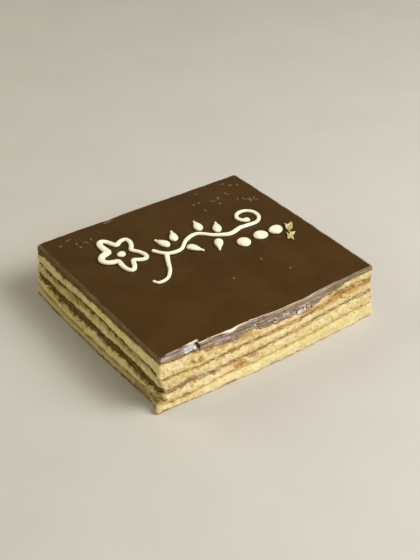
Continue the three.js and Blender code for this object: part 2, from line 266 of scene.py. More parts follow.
# The fillings on the front and left sides: millimetres along the side, height of the middle, thickness.
COFFEE_LOW = {
    FRONT: ((0, 7, 0.6), (5, 5.2, 1.3), (20, 5, 1.2), (30, 6, 0.6), (42, 7.3, 0.5), (70, 7.6, 0.35),
            (95, 8.5, 0.6), (118, 9, 0.6), (142, 9.7, 1.1), (157, 9.5, 1)),
    LEFT: ((0, 8.5, 1), (12, 6.5, 1), (35, 5.5, 0.9), (100, 6.5, 0.9), (120, 7.5, 0.9), (136, 9.5, 0.6),
           (145, 7.5, 0.5)),
}
GANACHE_LINE = {
    FRONT: ((0, 14.4, 3.2), (2, 13.8, 2), (6, 13, 2.7), (13, 12.9, 2.6), (19, 15.1, 2.5), (27, 13.6, 2),
            (45, 14.5, 1.7), (62, 15, 1.4), (90, 17.2, 1.1), (118, 18.8, 1), (135, 19.2, 1.3),
            (157, 19.4, 1.4)),
    LEFT: ((0, 15, 3.5), (16, 15.5, 5.5), (32, 14, 6.5), (58, 15.5, 6.5), (78, 16, 5.2), (90, 15.2, 6.6),
           (105, 16.5, 6), (120, 15.8, 6.5), (137, 15.5, 6), (143, 15.3, 5.2), (145, 14.8, 4.2)),
}
COFFEE_HIGH = {
    FRONT: ((0, 23, 0.2), (5, 22.7, 0.2), (10, 22.6, 0.6), (16, 22.1, 0.3), (30, 21.6, 0.5), (45, 22, 1.3),
            (55, 23, 1.2), (76, 23.3, 1), (88, 24.1, 1.1), (100, 24.6, 1.6), (114, 25.5, 2), (125, 27, 2.8),
            (135, 28.6, 3.2), (157, 27.8, 2.6)),
    LEFT: ((0, 24, 1.2), (20, 24, 1.2), (38, 25.5, 1.5), (70, 26.7, 1.9), (90, 26.7, 1.8), (118, 25.5, 1.1),
           (145, 25, 1.2)),
}
FILLING_LINES = {
    "spongeBottom": (COFFEE_LOW, -0.5), "creamLower": (COFFEE_LOW, 0.5),
    "spongeLower": (GANACHE_LINE, -0.5), "ganache": (GANACHE_LINE, 0.5),
    "spongeUpper": (COFFEE_HIGH, -0.5), "creamUpper": (COFFEE_HIGH, 0.5),
}
# How low the knife has dragged the chocolate cream on those sides: millimetres along the side, height.
CREAM_FOOT = {
    FRONT: ((0, 34), (20, 33), (28, 32.5), (37, 31), (46, 29), (53, 28.9), (57, 31.2), (64, 31.3),
            (69, 29.6), (76, 29), (104, 28.7), (115, 30.3), (131, 33), (139, 35), (157, 35)),
    LEFT: ((0, 30.5), (11, 33.5), (24, 31.5), (36, 32), (46, 33.5), (100, 34), (112, 34.5), (145, 34.5)),
}
CARRY = 10                  # how far a line goes on round the corner before the CAD's surface takes over
RIPPLE, RAGGED = 0.25, 0.42         # long and short unevenness of a layer's edge
THINNEST = 0.15                     # of a filling


def softened(values, columns=5):
    """A running mean round the cut."""
    return sum(np.roll(values, k) for k in range(-columns, columns + 1)) / (2 * columns + 1)


def follow_lines(cad, lines, value):
    """Takes the heights of the lines on the front and left sides, and the CAD's on the others."""
    height, front_at, left_at = cad, away_from(FRONT, 0), away_from(LEFT, 0)
    ends = (FRONT, RIGHT, front_at, front_at - WIDTH), (LEFT, BACK, left_at, -left_at)
    for side, beside, at, past in ends:
        line = np.interp(at, [point[0] for point in lines[side]], [value(point) for point in lines[side]])
        share = np.where(SIDE == beside, 1 - smooth(past / CARRY), SIDE == side)
        height = lerp(height, line, share)
    return softened(height)


def ripple(number):
    """The unevenness of a surface where it meets the cut, another one for each number."""
    place = at_height(MID_PLAN, 10 * number)
    long = fractal(place, 9, 5, octaves=2) * (SIDE % 3 != 0)
    return RIPPLE * (long + fractal(place, 4.5, 6, octaves=2)) + RAGGED * fractal(place, 2.3, 7, octaves=2)


def cut_height(name):
    """The height of a surface where it meets the cut, at each column."""
    (front_left, front_right, back_right, back_left), swells = SURFACES[name]
    across = np.clip(MID_PLAN[:, 0] / WIDTH + 0.5, 0, 1)
    back = np.clip(MID_PLAN[:, 1] / DEPTH + 0.5, 0, 1)
    front = lerp(front_left, front_right, across)
    rear = lerp(back_left, back_right, across)
    height = lerp(front, rear, back)
    for at_across, at_back, reach, rise in swells:
        height += rise * bump(np.hypot(across - at_across, back - at_back), 0, reach)
    for side, along, reach, rise in WAVES.get(name, ()):
        height += rise * bump(away_from(side, along), 0, reach)
    if name in FILLING_LINES:
        lines, edge = FILLING_LINES[name]
        height = follow_lines(height, lines, lambda point: point[1] + edge * point[2])
    return height + ripple(list(SURFACES).index(name))


# ---- Meshes ----

# Where the faces of a layer lie in the texture map, as shares of it.
STRIPS = 8                              # the wall is laid as this many strips
STRIP_MARGIN = 0.04                     # of a strip's height, free above and below it
WALL_SHARE = 0.94                       # of the map's height; the hidden caps have the rest
LOW_CAP, HIGH_CAP = (0.95, 0.97), (0.975, 0.995)
TOP_WIDTH, TOP_DEPTH, TOP_GAP = 0.97, 0.995, 0.002      # for a top that is laid as seen from above
UNDERSIDE = (0.975, 0.999)              # and for the hidden underside beside it


def finish_piece(piece, slot, *nodes):
    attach(piece, "root")
    if nodes:
        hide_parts(*nodes)


def make_object(name, points, faces, materials):
    mesh = bpy.data.meshes.new(name)
    mesh.from_pydata((np.asarray(points) * MM).tolist(), [], faces)
    mesh.polygons.foreach_set("use_smooth", [True] * len(mesh.polygons))
    for material in materials:
        mesh.materials.append(material)
    piece = bpy.data.objects.new(name, mesh)
    bpy.context.scene.collection.objects.link(piece)
    return piece


def add_attribute(piece, name, values):
    attribute = piece.data.attributes.new(name, "FLOAT", "POINT")
    attribute.data.foreach_set("value", np.asarray(values, np.float32))


def joined(shapes):
    """The vertices and faces of several shapes as one set."""
    vertices, faces, start = [], [], 0
    for shape_vertices, shape_faces in shapes:
        vertices.append(shape_vertices)
        faces += [[corner + start for corner in face] for face in shape_faces]
        start += len(shape_vertices)
    return np.concatenate(vertices), faces


def ring_faces(count, turns):
    """Faces of a closed body whose vertices are the middle of its underside, then rings that run out and up
    to its top, then the middle of the top."""
    at = 1 + np.arange(count * turns).reshape(count, turns)
    beside = np.roll(at, -1, axis=1)
    quads = np.stack([at[:-1], beside[:-1], beside[1:], at[1:]], axis=-1).reshape(-1, 4)
    low_cap = np.column_stack([np.zeros(turns, int), beside[0], at[0]])
    high_cap = np.column_stack([at[-1], beside[-1], np.full(turns, count * turns + 1)])
    return quads.tolist() + low_cap.tolist() + high_cap.tolist()


def tube_faces(count, sides, closed=False):
    """Faces of a tube of rings of vertices, either closed on itself or with a flat face at each end."""
    at = np.arange(count * sides).reshape(count, sides)
    after, beside = np.roll(at, -1, axis=0), np.roll(at, -1, axis=1)
    quads = np.stack([at, after, np.roll(after, -1, axis=1), beside], axis=-1)
    if closed:
        return quads.reshape(-1, 4).tolist()
    return quads[:-1].reshape(-1, 4).tolist() + [at[0].tolist(), at[-1][::-1].tolist()]


def face_map(*corners):
    """The map places of many like faces, from the u and v of each corner."""
    return np.stack(np.broadcast_arrays(*itertools.chain(*corners)), axis=-1).reshape(-1, 2)


def wall_map(points, strips, wall_share):
    """The map places of a wall's faces, laid as strips above each other."""
    strip = (SIDE * (strips // 4) + (SHARE * (strips // 4)).astype(int)).astype(int)
    starts = np.array([ROUND[np.argmax(strip == k)] for k in range(strips)] + [ROUND[-1]])
    width = starts[strip + 1] - starts[strip]
    left, right = (ROUND[:-1] - starts[strip]) / width, (ROUND[1:] - starts[strip]) / width
    steps = np.linalg.norm(np.diff(points, axis=0), axis=-1).mean(axis=1)
    section = np.concatenate([[0], np.cumsum(steps)])[:, None] / steps.sum()
    v = (strip + lerp(STRIP_MARGIN, 1 - STRIP_MARGIN, section)) * wall_share / strips
    return face_map((left, v[:-1]), (right, v[:-1]), (right, v[1:]), (left, v[1:]))


def top_map(rows, wall_share):
    """The map places of the faces of a top and of its middle, as seen from above."""
    x, y = rows[..., 0], rows[..., 1]
    u = TOP_WIDTH * (x - x.min()) / np.ptp(x)
    v = wall_share + TOP_GAP + TOP_DEPTH * (1 - wall_share) * (y - y.min()) / np.ptp(y)
    next_u, next_v = np.roll(u, -1, axis=1), np.roll(v, -1, axis=1)
    quads = face_map((u[:-1], v[:-1]), (next_u[:-1], next_v[:-1]), (next_u[1:], next_v[1:]), (u[1:], v[1:]))
    return quads, face_map((u[-1], v[-1]), (next_u[-1], next_v[-1]), (u[-1].mean(), v[-1].mean()))


def ring_body(name, points, materials, attributes, strips=STRIPS, wall_rows=None, wall_share=WALL_SHARE):
    """A closed body from rows of points that run from its underside out and up to its top. The rows from
    wall_rows on are laid in the texture map as seen from above, and the others as strips."""
    vertices = np.concatenate([[points[0].mean(axis=0)], points.reshape(-1, 3), [points[-1].mean(axis=0)]])
    piece = make_object(name, vertices, ring_faces(len(points), COLUMNS), materials)
    for key, values in attributes.items():
        add_attribute(piece, key, np.concatenate([[values[0].mean()], values.ravel(), [values[-1].mean()]]))

    start, end = ROUND[:-1] / ROUND[-1], ROUND[1:] / ROUND[-1]
    middle = (start + end) / 2
    maps = [wall_map(points[:wall_rows], strips, wall_share)]
    if wall_rows:
        top, high_cap = top_map(points[wall_rows - 1:], wall_share)
        start, middle, end = (lerp(wall_share, 1, way) for way in (start, middle, end))
        low_cap = face_map((UNDERSIDE[0], middle), (UNDERSIDE[1], end), (UNDERSIDE[1], start))
        maps += [top, low_cap, high_cap]
    else:
        maps.append(face_map((middle, LOW_CAP[0]), (end, LOW_CAP[1]), (start, LOW_CAP[1])))
        maps.append(face_map((start, HIGH_CAP[0]), (end, HIGH_CAP[0]), (middle, HIGH_CAP[1])))
    uv = piece.data.uv_layers.new(name="OFBake")
    uv.data.foreach_set("uv", np.concatenate(maps).astype(np.float32).ravel())
    return piece


# ---- Materials ----


class Paint:
    """A Principled material, with short calls for the nodes that drive it. Sizes are in millimetres."""

    def __init__(self, name, roughness=0.5, specular=0.5, metallic=0.0):
        self.material = bpy.data.materials.new(name)
        self.material.use_nodes = True
        self.tree = self.material.node_tree
        self.shader = self.tree.nodes["Principled BSDF"]
        self.shader.inputs["Roughness"].default_value = roughness
        self.shader.inputs["Specular IOR Level"].default_value = specular
        self.shader.inputs["Metallic"].default_value = metallic
        self.place = self.node("ShaderNodeTexCoord").outputs["Object"]

    def node(self, kind, inputs=(), **settings):
        node = self.tree.nodes.new(kind)
        for key, value in settings.items():
            setattr(node, key, value)
        for key, value in inputs:
            self.put(value, node.inputs[key])
        return node

    def put(self, value, socket):
        if isinstance(value, bpy.types.NodeSocket):
            self.tree.links.new(value, socket)
        else:
            socket.default_value = value

    def set(self, key, value):
        self.put(value, self.shader.inputs[key])

    def attribute(self, name, times=None):
        value = self.node("ShaderNodeAttribute", attribute_name=name).outputs["Fac"]
        return value if times is None else self.math("MULTIPLY", value, times)

    def noise(self, size, detail=2, stretch=(1, 1, 1), shift=0.0):
        scale = tuple(1 / (size * MM * s) for s in stretch)
        moved = [("Vector", self.place), ("Location", (shift,) * 3), ("Scale", scale)]
        place = self.node("ShaderNodeMapping", moved)
        inputs = [("Vector", place.outputs[0]), ("Scale", 1.0), ("Detail", detail)]
        return self.node("ShaderNodeTexNoise", inputs).outputs["Fac"]

    def ramp(self, value, *stops):
        node = self.node("ShaderNodeValToRGB", [("Fac", value)])
        elements = node.color_ramp.elements
        while len(elements) < len(stops):
            elements.new(0.5)
        for element, (place, colour) in zip(elements, stops):
            element.position = place
            element.color = (*colour, 1)
        return node.outputs["Color"]

    def mix(self, share, a, b, blend="MIX"):
        node = self.node("ShaderNodeMix", data_type="RGBA", blend_type=blend)
        self.put(share, node.inputs[0])
        for value, index in ((a, 6), (b, 7)):
            self.put((*value, 1) if isinstance(value, tuple) else value, node.inputs[index])
        return node.outputs[2]

    def over(self, base, *layers, blend="MIX"):
        """Lays colours over a base in turn, each with its share or with the attribute that holds it."""
        for share, colour in layers:
            share = self.attribute(share) if isinstance(share, str) else share
            base = self.mix(share, base, colour, blend)
        return base

    def math(self, operation, a, b):
        return self.node("ShaderNodeMath", [(0, a), (1, b)], operation=operation).outputs[0]

    def range(self, value, low, high, to_low=0.0, to_high=1.0):
        ends = [("From Min", low), ("From Max", high), ("To Min", to_low), ("To Max", to_high)]
        return self.node("ShaderNodeMapRange", [("Value", value), *ends]).outputs[0]

    def bump(self, height, depth, under=None):
        inputs = [("Height", height), ("Distance", depth * MM)]
        if under is not None:
            inputs.append(("Normal", under))
        return self.node("ShaderNodeBump", inputs).outputs[0]


def sponge_paint():
    """Yellow sponge, browned, soaked or stained where its attributes say so, with painted shade in its holes,
    along its edges, on its left side and at the lowest one's foot there, and a warm painted tint on the left
    side.
    """
    paint = Paint("almond_sponge", roughness=0.85, specular=0.2)
    patches = paint.noise(4.5, detail=4)
    tint = paint.noise(7, detail=3, shift=4.0)
    crumb = paint.noise(0.9, detail=3)
    blotch = paint.noise(3.0, detail=3, shift=2.5)
    speckle = paint.noise(2.6, detail=4, shift=6.0)
    base = paint.ramp(patches, (0.32, (0.71, 0.56, 0.245)), (0.44, (0.76, 0.64, 0.31)),
                      (0.55, (0.79, 0.69, 0.40)), (0.66, (0.83, 0.75, 0.50)))
    base = paint.over(base,
                      (paint.range(tint, 0.52, 0.66, 0.0, 0.5), (0.83, 0.68, 0.46)),
                      (paint.range(tint, 0.47, 0.35, 0.0, 0.45), (0.74, 0.70, 0.32)),
                      (paint.range(crumb, 0.5, 0.75, 0.0, 0.2), (0.64, 0.46, 0.18)),
                      # Painted shade in the holes of the crumb.
                      (paint.attribute("pit_shade", 0.25), (0.50, 0.32, 0.10)),
                      # Olive painted shade along the upper and lower edges of each sponge.
                      (paint.attribute("edge", 0.6), (0.66, 0.58, 0.20)))
    tan = paint.ramp(speckle, (0.36, (0.70, 0.56, 0.38)), (0.5, (0.88, 0.82, 0.70)),
                     (0.62, (1.0, 0.99, 0.96)))
    # Multiplied in: tan patches, painted shade on the left side and the right of the front, and a warm
    # painted tint on the left side for the warm light that falls there.
    base = paint.over(base, ("tan", tan), ("painted_shade", (0.55, 0.53, 0.42)), ("left", (1.0, 0.99, 0.87)),
                      blend="MULTIPLY")
    soak = paint.ramp(crumb, (0.3, (0.19, 0.125, 0.02)), (0.7, (0.40, 0.29, 0.07)))
    crust_and_foot_shade = paint.ramp(speckle, (0.35, (0.17, 0.09, 0.015)), (0.5, (0.34, 0.20, 0.04)),
                       (0.66, (0.58, 0.33, 0.08)))
    # On the left side the crust and the stains take these darker olive copies, which are painted shade.
    left_crust_in_shade = paint.ramp(speckle, (0.35, (0.05, 0.032, 0.005)), (0.5, (0.12, 0.085, 0.014)),
                            (0.66, (0.26, 0.19, 0.04)))
    brown = paint.ramp(crumb, (0.3, (0.16, 0.075, 0.03)), (0.5, (0.33, 0.17, 0.06)),
                       (0.7, (0.52, 0.32, 0.12)))
    orange = paint.ramp(crumb, (0.3, (0.20, 0.085, 0.01)), (0.5, (0.43, 0.21, 0.025)),
                        (0.7, (0.66, 0.40, 0.09)))
    stain = paint.mix(paint.range(blotch, 0.40, 0.53), brown, orange)
    left_stain_in_shade = paint.ramp(crumb, (0.3, (0.10, 0.070, 0.012)), (0.7, (0.30, 0.22, 0.06)))
    base = paint.over(base, ("soak", soak), ("crust_and_foot_shade", paint.over(crust_and_foot_shade, ("left", left_crust_in_shade))),
                      ("stain", paint.over(stain, ("left", left_stain_in_shade))))
    paint.set("Base Color", base)
    fine = paint.bump(paint.noise(0.55, detail=3), 0.15)
    paint.set("Normal", paint.bump(crumb, 0.28, under=fine))
    return paint.material


def filling_paint(name, dark, light, crumb_colour, roughness):
    """A cream or ganache where the knife has cut it: smeared along the cut, with crumbs pressed in, and
    darkened with painted shade where it lies deep in the cut.
    """
    paint = Paint(name, roughness=roughness, specular=0.08)
    smear = paint.noise(1.1, detail=3, stretch=(3, 3, 0.6))
    long = paint.noise(6, shift=7.0)
    crumbs = paint.noise(1.4, shift=3.0)
    base = paint.ramp(smear, (0.35, dark), (0.65, light))
    shade = paint.ramp(smear, (0.38, (0.050, 0.025, 0.002)), (0.62, (0.165, 0.098, 0.007)))
    base = paint.over(base,
                      (paint.range(long, 0.5, 0.66, 0.0, 0.7), crumb_colour),
                      (paint.range(crumbs, 0.58, 0.7, 0.0, 0.7), crumb_colour),
                      (paint.attribute("deep_shade", 0.9), shade))
    paint.set("Base Color", base)
    uneven = paint.range(smear, 0.3, 0.7, roughness - 0.12, roughness + 0.15)
    paint.set("Roughness", paint.math("MAXIMUM", uneven, paint.attribute("deep_shade", 0.8)))
    paint.set("Normal", paint.bump(smear, 0.3))
    return paint.material


# Painted highlight on the broken rim of the glaze and on the flake's ridge.
RIM_HIGHLIGHT = (0.84, 0.71, 0.60)
# Painted shade in the crack in the front edge.
CRACK_SHADE = (0.022, 0.012, 0.006)


def facet_glint_colour(paint, uneven):
    """The pale facet under the lifted flake, a painted reflection of the light."""
    return paint.ramp(uneven, (0.4, (0.17, 0.18, 0.20)), (0.5, (0.45, 0.48, 0.50)), (0.6, (0.66, 0.68, 0.69)))


def cut_chocolate_paint():
    """The sides of the glaze and of the cream under it, which the knife has dragged and dulled, with painted
    highlights and painted shade.
    """
    paint = Paint("cut_chocolate", roughness=0.4, specular=0.2)
    streaks = paint.noise(0.9, detail=3, stretch=(14, 14, 0.5))
    specks = paint.noise(1.6, detail=3, shift=5.0)
    tint = paint.noise(3.2, detail=3, shift=2.0)
    crumble = paint.noise(1.4, detail=3, stretch=(1.6, 1.6, 1), shift=8.0)
    base = paint.ramp(streaks, (0.32, (0.10, 0.065, 0.035)), (0.46, (0.22, 0.165, 0.110)),
                      (0.56, (0.31, 0.240, 0.170)), (0.70, (0.44, 0.355, 0.27)))
    # Painted mauve highlights.
    mauve_sheen = paint.ramp(specks, (0.38, (0.20, 0.13, 0.125)), (0.55, (0.50, 0.38, 0.40)),
                       (0.7, (0.66, 0.55, 0.58)))
    # The torn edge, with painted shade between painted glints.
    torn_and_painted_light = paint.ramp(crumble, (0.41, (0.035, 0.018, 0.012)), (0.49, (0.21, 0.145, 0.125)),
                      (0.56, (0.78, 0.68, 0.69)))
    # Dull, darker chocolate, on the left side partly painted shade.
    dull_and_shade = paint.over(paint.ramp(streaks, (0.35, (0.058, 0.036, 0.005)), (0.65, (0.140, 0.088, 0.015))),
                      (paint.range(tint, 0.52, 0.66, 0.0, 0.5), (0.11, 0.088, 0.013)),
                      (paint.range(tint, 0.48, 0.34, 0.0, 0.6), (0.085, 0.045, 0.028)))
    brown = paint.over(paint.ramp(specks, (0.35, (0.13, 0.05, 0.018)), (0.6, (0.36, 0.19, 0.07))),
                       ("dull_and_shade", paint.ramp(specks, (0.35, (0.05, 0.03, 0.004)), (0.6, (0.27, 0.22, 0.03)))))
    rim_highlight = paint.attribute("rim_highlight")
    base = paint.over(base,
                      (paint.range(specks, 0.56, 0.72, 0.0, 0.6), (0.10, 0.06, 0.035)),
                      ("mauve_sheen", mauve_sheen), ("torn_and_painted_light", torn_and_painted_light),
                      (paint.attribute("dull_and_shade", 0.95), dull_and_shade), ("brown", brown),
                      (paint.math("MULTIPLY", rim_highlight, paint.range(specks, 0.35, 0.5, 0.5, 1.0)), RIM_HIGHLIGHT),
                      ("facet_glint", facet_glint_colour(paint, specks)), ("crack_shade", CRACK_SHADE))
    paint.set("Base Color", base)
    worn_and_sheen = paint.math("MULTIPLY", paint.range(specks, 0.3, 0.7, 0.25, 0.5), paint.range(rim_highlight, 0, 1, 1.0, 0.7))
    paint.set("Roughness", paint.math("MAXIMUM", worn_and_sheen, paint.attribute("dull_and_shade", 0.75)))
    fine = paint.bump(streaks, 0.3)
    paint.set("Normal", paint.bump(specks, 0.35, under=fine))
    return paint.material


def glaze_paint():
    """The top of the glaze, with its worn edge and sag in a paler painted sheen, a painted highlight on its
    broken rim, painted shade in its crack, and the lifted flake with a painted reflection.
    """
    paint = Paint("dark_glaze", roughness=0.28, specular=0.2)
    patches = paint.noise(26)
    grain = paint.noise(0.7)
    streaks = paint.noise(1.2, detail=3, stretch=(7, 1, 1))
    base = paint.ramp(patches, (0.35, (0.047, 0.0210, 0.0030)), (0.65, (0.058, 0.0282, 0.0048)))
    # The sagging glaze and its broken edge are painted a paler grey, partly knife wear and partly a painted
    # sheen.
    worn_and_sheen = paint.ramp(streaks, (0.35, (0.11, 0.08, 0.06)), (0.52, (0.25, 0.20, 0.17)),
                      (0.66, (0.42, 0.36, 0.33)))
    base = paint.over(base,
                      (paint.range(grain, 0.62, 0.75, 0.0, 0.2), (0.10, 0.06, 0.025)), ("worn_and_sheen", worn_and_sheen),
                      ("facet_glint", facet_glint_colour(paint, streaks)), ("rim_highlight", RIM_HIGHLIGHT), ("crack_shade", CRACK_SHADE))
    paint.set("Base Color", base)
    paint.set("Roughness", paint.range(patches, 0.3, 0.7, 0.24, 0.34))
    paint.set("Normal", paint.bump(paint.noise(5), 0.04))
    return paint.material


def patchy_paint(name, size, stops, roughness, grain=None, detail=2, **looks):
    """Soft patches of colour of that size, rougher where they are paler if there are two values for it, and a
    grain of its own size and depth."""
    paint = Paint(name, roughness=roughness[0], **looks)
    patches = paint.noise(size, detail)
    paint.set("Base Color", paint.ramp(patches, *stops))
    if len(roughness) == 2:
        paint.set("Roughness", paint.range(patches, 0.3, 0.7, *roughness))
    if grain:
        paint.set("Normal", paint.bump(paint.noise(grain[0]), grain[1]))
    return paint.material


SPONGE = sponge_paint()
COFFEE_DARK = filling_paint("coffee_cream", (0.17, 0.09, 0.035), (0.44, 0.28, 0.13), (0.60, 0.42, 0.18), 0.6)
COFFEE_PALE = filling_paint("coffee_cream_pale", (0.34, 0.24, 0.07), (0.52, 0.40, 0.15),
                            (0.60, 0.46, 0.18), 0.6)
GANACHE = filling_paint("ganache", (0.12, 0.066, 0.034), (0.45, 0.32, 0.19), (0.55, 0.40, 0.18), 0.5)
CUT_CHOCOLATE = cut_chocolate_paint()
GLAZE = glaze_paint()
SCUFFS_AND_GLINT = patchy_paint("scuffs_and_glint", 1.0, ((0.4, (0.07, 0.045, 0.02)), (0.62, (0.36, 0.27, 0.12))),
                             (0.5,), grain=(0.4, 0.1), specular=0.4)
WHITE_CHOCOLATE = patchy_paint("white_chocolate", 4, ((0.35, (0.86, 0.82, 0.61)), (0.65, (0.91, 0.88, 0.72))),
                               (0.32, 0.45), grain=(1.6, 0.08), specular=0.45)
GOLD_LEAF = patchy_paint(
    "gold_leaf", 1.2, ((0.35, (0.33, 0.28, 0.08)), (0.5, (0.54, 0.47, 0.19)), (0.65, (0.78, 0.74, 0.44))),
    (0.45, 0.65), grain=(0.5, 0.1), detail=3, metallic=0.35)
FLOOR = patchy_paint("floor", 60, ((0.3, (0.50, 0.49, 0.465)), (0.7, (0.52, 0.51, 0.485))), (0.6,),
                     specular=0.2)

# ---- Marks on the cut ----

# Brown and coffee-soaked patches: millimetres along the side, height, half length, half height, strength. On
# the left, the one in the notch by the front corner is partly painted shade.
STAINS = {
    FRONT: ((10.5, 22.8, 3.2, 1.2, 1.0), (19, 22.6, 6, 1, 0.5), (24.5, 32.5, 3.5, 1.1, 0.8),
            (33, 30.6, 3, 1.7, 0.9), (27, 26.3, 2, 2.6, 0.9), (19.5, 26.5, 1, 0.9, 0.9),
            (60, 29.9, 5.5, 2, 0.7), (71, 31, 4, 1.1, 0.8), (31.5, 22.5, 4.5, 0.7, 0.7),
            (48, 23.2, 2.3, 1.5, 1.0), (36.3, 13.2, 1.9, 2.2, 1.0), (54, 12, 4.5, 3.4, 0.85),
            (63, 13.2, 4, 1.3, 0.8), (10, 13, 7, 1, 0.6), (16.3, 6.4, 3.2, 2.2, 1.0),
            (3.5, 0.9, 1.8, 1.1, 1.0), (1.5, 8, 2.5, 1, 1.0), (47, 0.8, 5, 1, 0.8),
            (97, 0.8, 1.5, 0.8, 1.0), (88, 10, 1.2, 0.7, 1.0), (82, 25, 6, 1, 0.8), (82, 29.5, 5, 1, 0.6),
            (104, 28, 6, 1.5, 0.9), (121, 25.5, 7, 1.6, 0.8), (130, 28, 6, 3, 0.9),
            (143, 28.5, 10, 2.1, 0.9), (154, 27, 3, 2, 0.9), (143, 25.6, 12, 2, 0.6),
            (118, 24, 8, 1.4, 0.5), (92, 23.6, 12, 1.2, 0.5), (138, 10, 2, 0.8, 1.0),
            (149.5, 10.5, 1.6, 0.8, 1.0), (48, 29.8, 2, 1.8, 1.0), (22.5, 12.8, 2, 1.2, 0.8),
            (25.5, 20.4, 1.6, 1.6, 0.6), (9, 33.2, 9, 0.9, 0.6), (43, 28.6, 5, 1.2, 0.6),
            (60, 27.4, 11, 0.9, 0.4)),
    LEFT: ((140, 7, 5, 2.4, 0.9), (128, 4.5, 12, 3.4, 0.6), (53, 23.5, 2, 1.4, 1.0), (143, 9.5, 3, 4, 0.8),
           (44, 33.5, 5, 1.2, 0.7)),
    RIGHT: ((35, 24, 9, 1.4, 0.6), (92, 10, 6, 1.4, 0.5), (120, 29, 5, 1.2, 0.5)),
    BACK: ((40, 28.5, 6, 1.2, 0.5), (96, 11.5, 5, 1.6, 0.5)),
}

# Where mauve highlights are painted on the cut chocolate cream, in the same way.
MAUVE_SHEEN = {
    FRONT: ((6, 37.4, 3, 0.6, 0.6), (13, 37.6, 4, 0.6, 0.6), (32, 34, 4, 0.7, 0.6),
            (42, 33.6, 4.5, 0.9, 1.0), (60, 33, 5, 0.6, 0.7), (77, 32.5, 4, 0.8, 0.8),
            (89, 32.5, 4, 1, 1.0), (101, 33, 3.5, 0.9, 1.0), (111, 33.5, 3.5, 0.6, 0.9)),
}

# Where the upper sponge is dark with coffee under the cream: millimetres along the side, reach, depth.
SOAKED = {
    FRONT: ((142, 20, 1.6),),
    LEFT: ((15, 34, 2.2), (62, 30, 3.8), (105, 44, 3.0)),
    RIGHT: ((60, 40, 1.2),),
    BACK: ((70, 50, 1.4),),
}

# Where the cut is chipped in or pushed out: millimetres along the side, height, reach along and up, out.
CHIPS = {
    FRONT: ((21.5, 25.8, 1.9, 1.3, -1.6), (38, 11, 2.2, 1.6, -0.7), (23.2, 26.4, 1.2, 1.0, 1.1),
            (10, 5.4, 3, 1.2, 0.5), (126, 12.6, 2.4, 2.0, 0.5), (48, 28.6, 1.6, 1.0, -0.8),
            (35.8, 14.6, 1.3, 1.1, 1.0), (143, 0.5, 14, 2.5, 0.7)),
    LEFT: ((50, 22.4, 3, 1.4, -1.2),),
    RIGHT: ((20, 15, 3, 3, -0.9),),
    BACK: ((75, 27, 4, 2.2, -0.8),),
}


def patches_on(points, marks):
    """How strongly patches cover each point of the cut, with broken edges."""
    broken = 0.75 * fractal(points, 2.6, 71)
    cover = np.zeros(points.shape[:-1])
    for side, patches in marks.items():
        for along, height, half_length, half_height, strength in patches:
            away = np.hypot(away_from(side, along) / half_length, (points[..., 2] - height) / half_height)
            cover = np.maximum(cover, strength * smooth(1.5 * (1.3 - away + broken)))
    return cover


def chipped(points):
    """How far chips shift the cut outwards."""
    out = np.zeros(points.shape[:-1])
    for side, chips in CHIPS.items():
        for along, height, reach, reach_up, amount in chips:
            out += amount * bump(away_from(side, along), 0, reach) * bump(points[..., 2], height, reach_up)
    return out


# ---- Sponges ----

SPONGE_ROUND = 0.45         # radius of a sponge's upper and lower edge
GROUND_ROUND = 0.15         # of the lowest sponge's lower edge
SPONGE_ROWS = 20            # rows of points between those edges
BELLY = 0.55                # how far a sponge swells out between its edges
LEFT_BELLY = 1.25           # on the left side
UNDER = (-3.0, -1.2)        # where the rows on the hidden faces lie, behind the cut
EDGE_ANGLES = (0, math.pi / 6, math.pi / 3)     # of the rows round an edge
CRUST, LEFT_CRUST_AND_SHADE = 0.9, 3.0        # height of a sponge's browned foot, and of the lowest one's on the left, where it is also painted contact shade
GROUND_BELLY = 0.4          # of the lowest sponge on the left
GROUND_LEAN = 0.8           # how far its foot leans in there
# 1 on the left side and 0 off it, with a soft step between.
LEFT_SHARE = softened(1.0 * (SIDE == LEFT) * (away_from(FRONT, 0) < -1), 7)
# The left side has more painted shade towards the back. The front has painted shade to its right, and is
# browner to its left.
TOWARDS_FRONT = smooth((away_from(LEFT, 0) - 55) / 20)
FRONT_SHADE = 0.3 * smooth((away_from(FRONT, 0) - 60) / 70) * (SIDE == FRONT)
CORNER_TAN = 0.25 * smooth((45 - away_from(FRONT, 0)) / 30) * (SIDE == FRONT)


def row_arrays(rows):
    """The heights and outs of rows at each column, and the third value of each row."""
    z, out, share = zip(*rows)
    z, out = (np.stack([value + np.zeros(COLUMNS) for value in column]) for column in (z, out))
    return z, out, np.array(share)[:, None]


def layer_rows(low, high, round_edge, wall_rows, low_round=None):
    """Heights and outs of a layer's rows, and how much of the surface's relief each has."""
    low_round = low_round or round_edge
    rows = [(low, out, share) for out, share in zip(UNDER, (0.0, 0.3))]
    rows += [(low + low_round * (1 - math.cos(a)), -low_round * (1 - math.sin(a)), 0.8) for a in EDGE_ANGLES]
    rows += [(lerp(low + low_round, high - round_edge, t), 0, 1.0) for t in np.linspace(0, 1, wall_rows)]
    rows += [(high - round_edge * (1 - math.cos(a)), -round_edge * (1 - math.sin(a)), 0.8)
             for a in reversed(EDGE_ANGLES)]
    rows += [(high, out, share) for out, share in zip(reversed(UNDER), (0.3, 0.0))]
    return row_arrays(rows)


def on_cut(z, out):
    """Points of the cut at those heights, moved outwards."""
    plan = cut_plan(z) + NORMALS * out[..., None]
    return np.stack([plan[..., 0] + ends_out(z), plan[..., 1], z], axis=-1)


def move(points, out, up):
    """Moves rows of points outwards and up."""
    shift = np.concatenate([NORMALS * out[..., None], up[..., None]], axis=-1)
    return points + shift


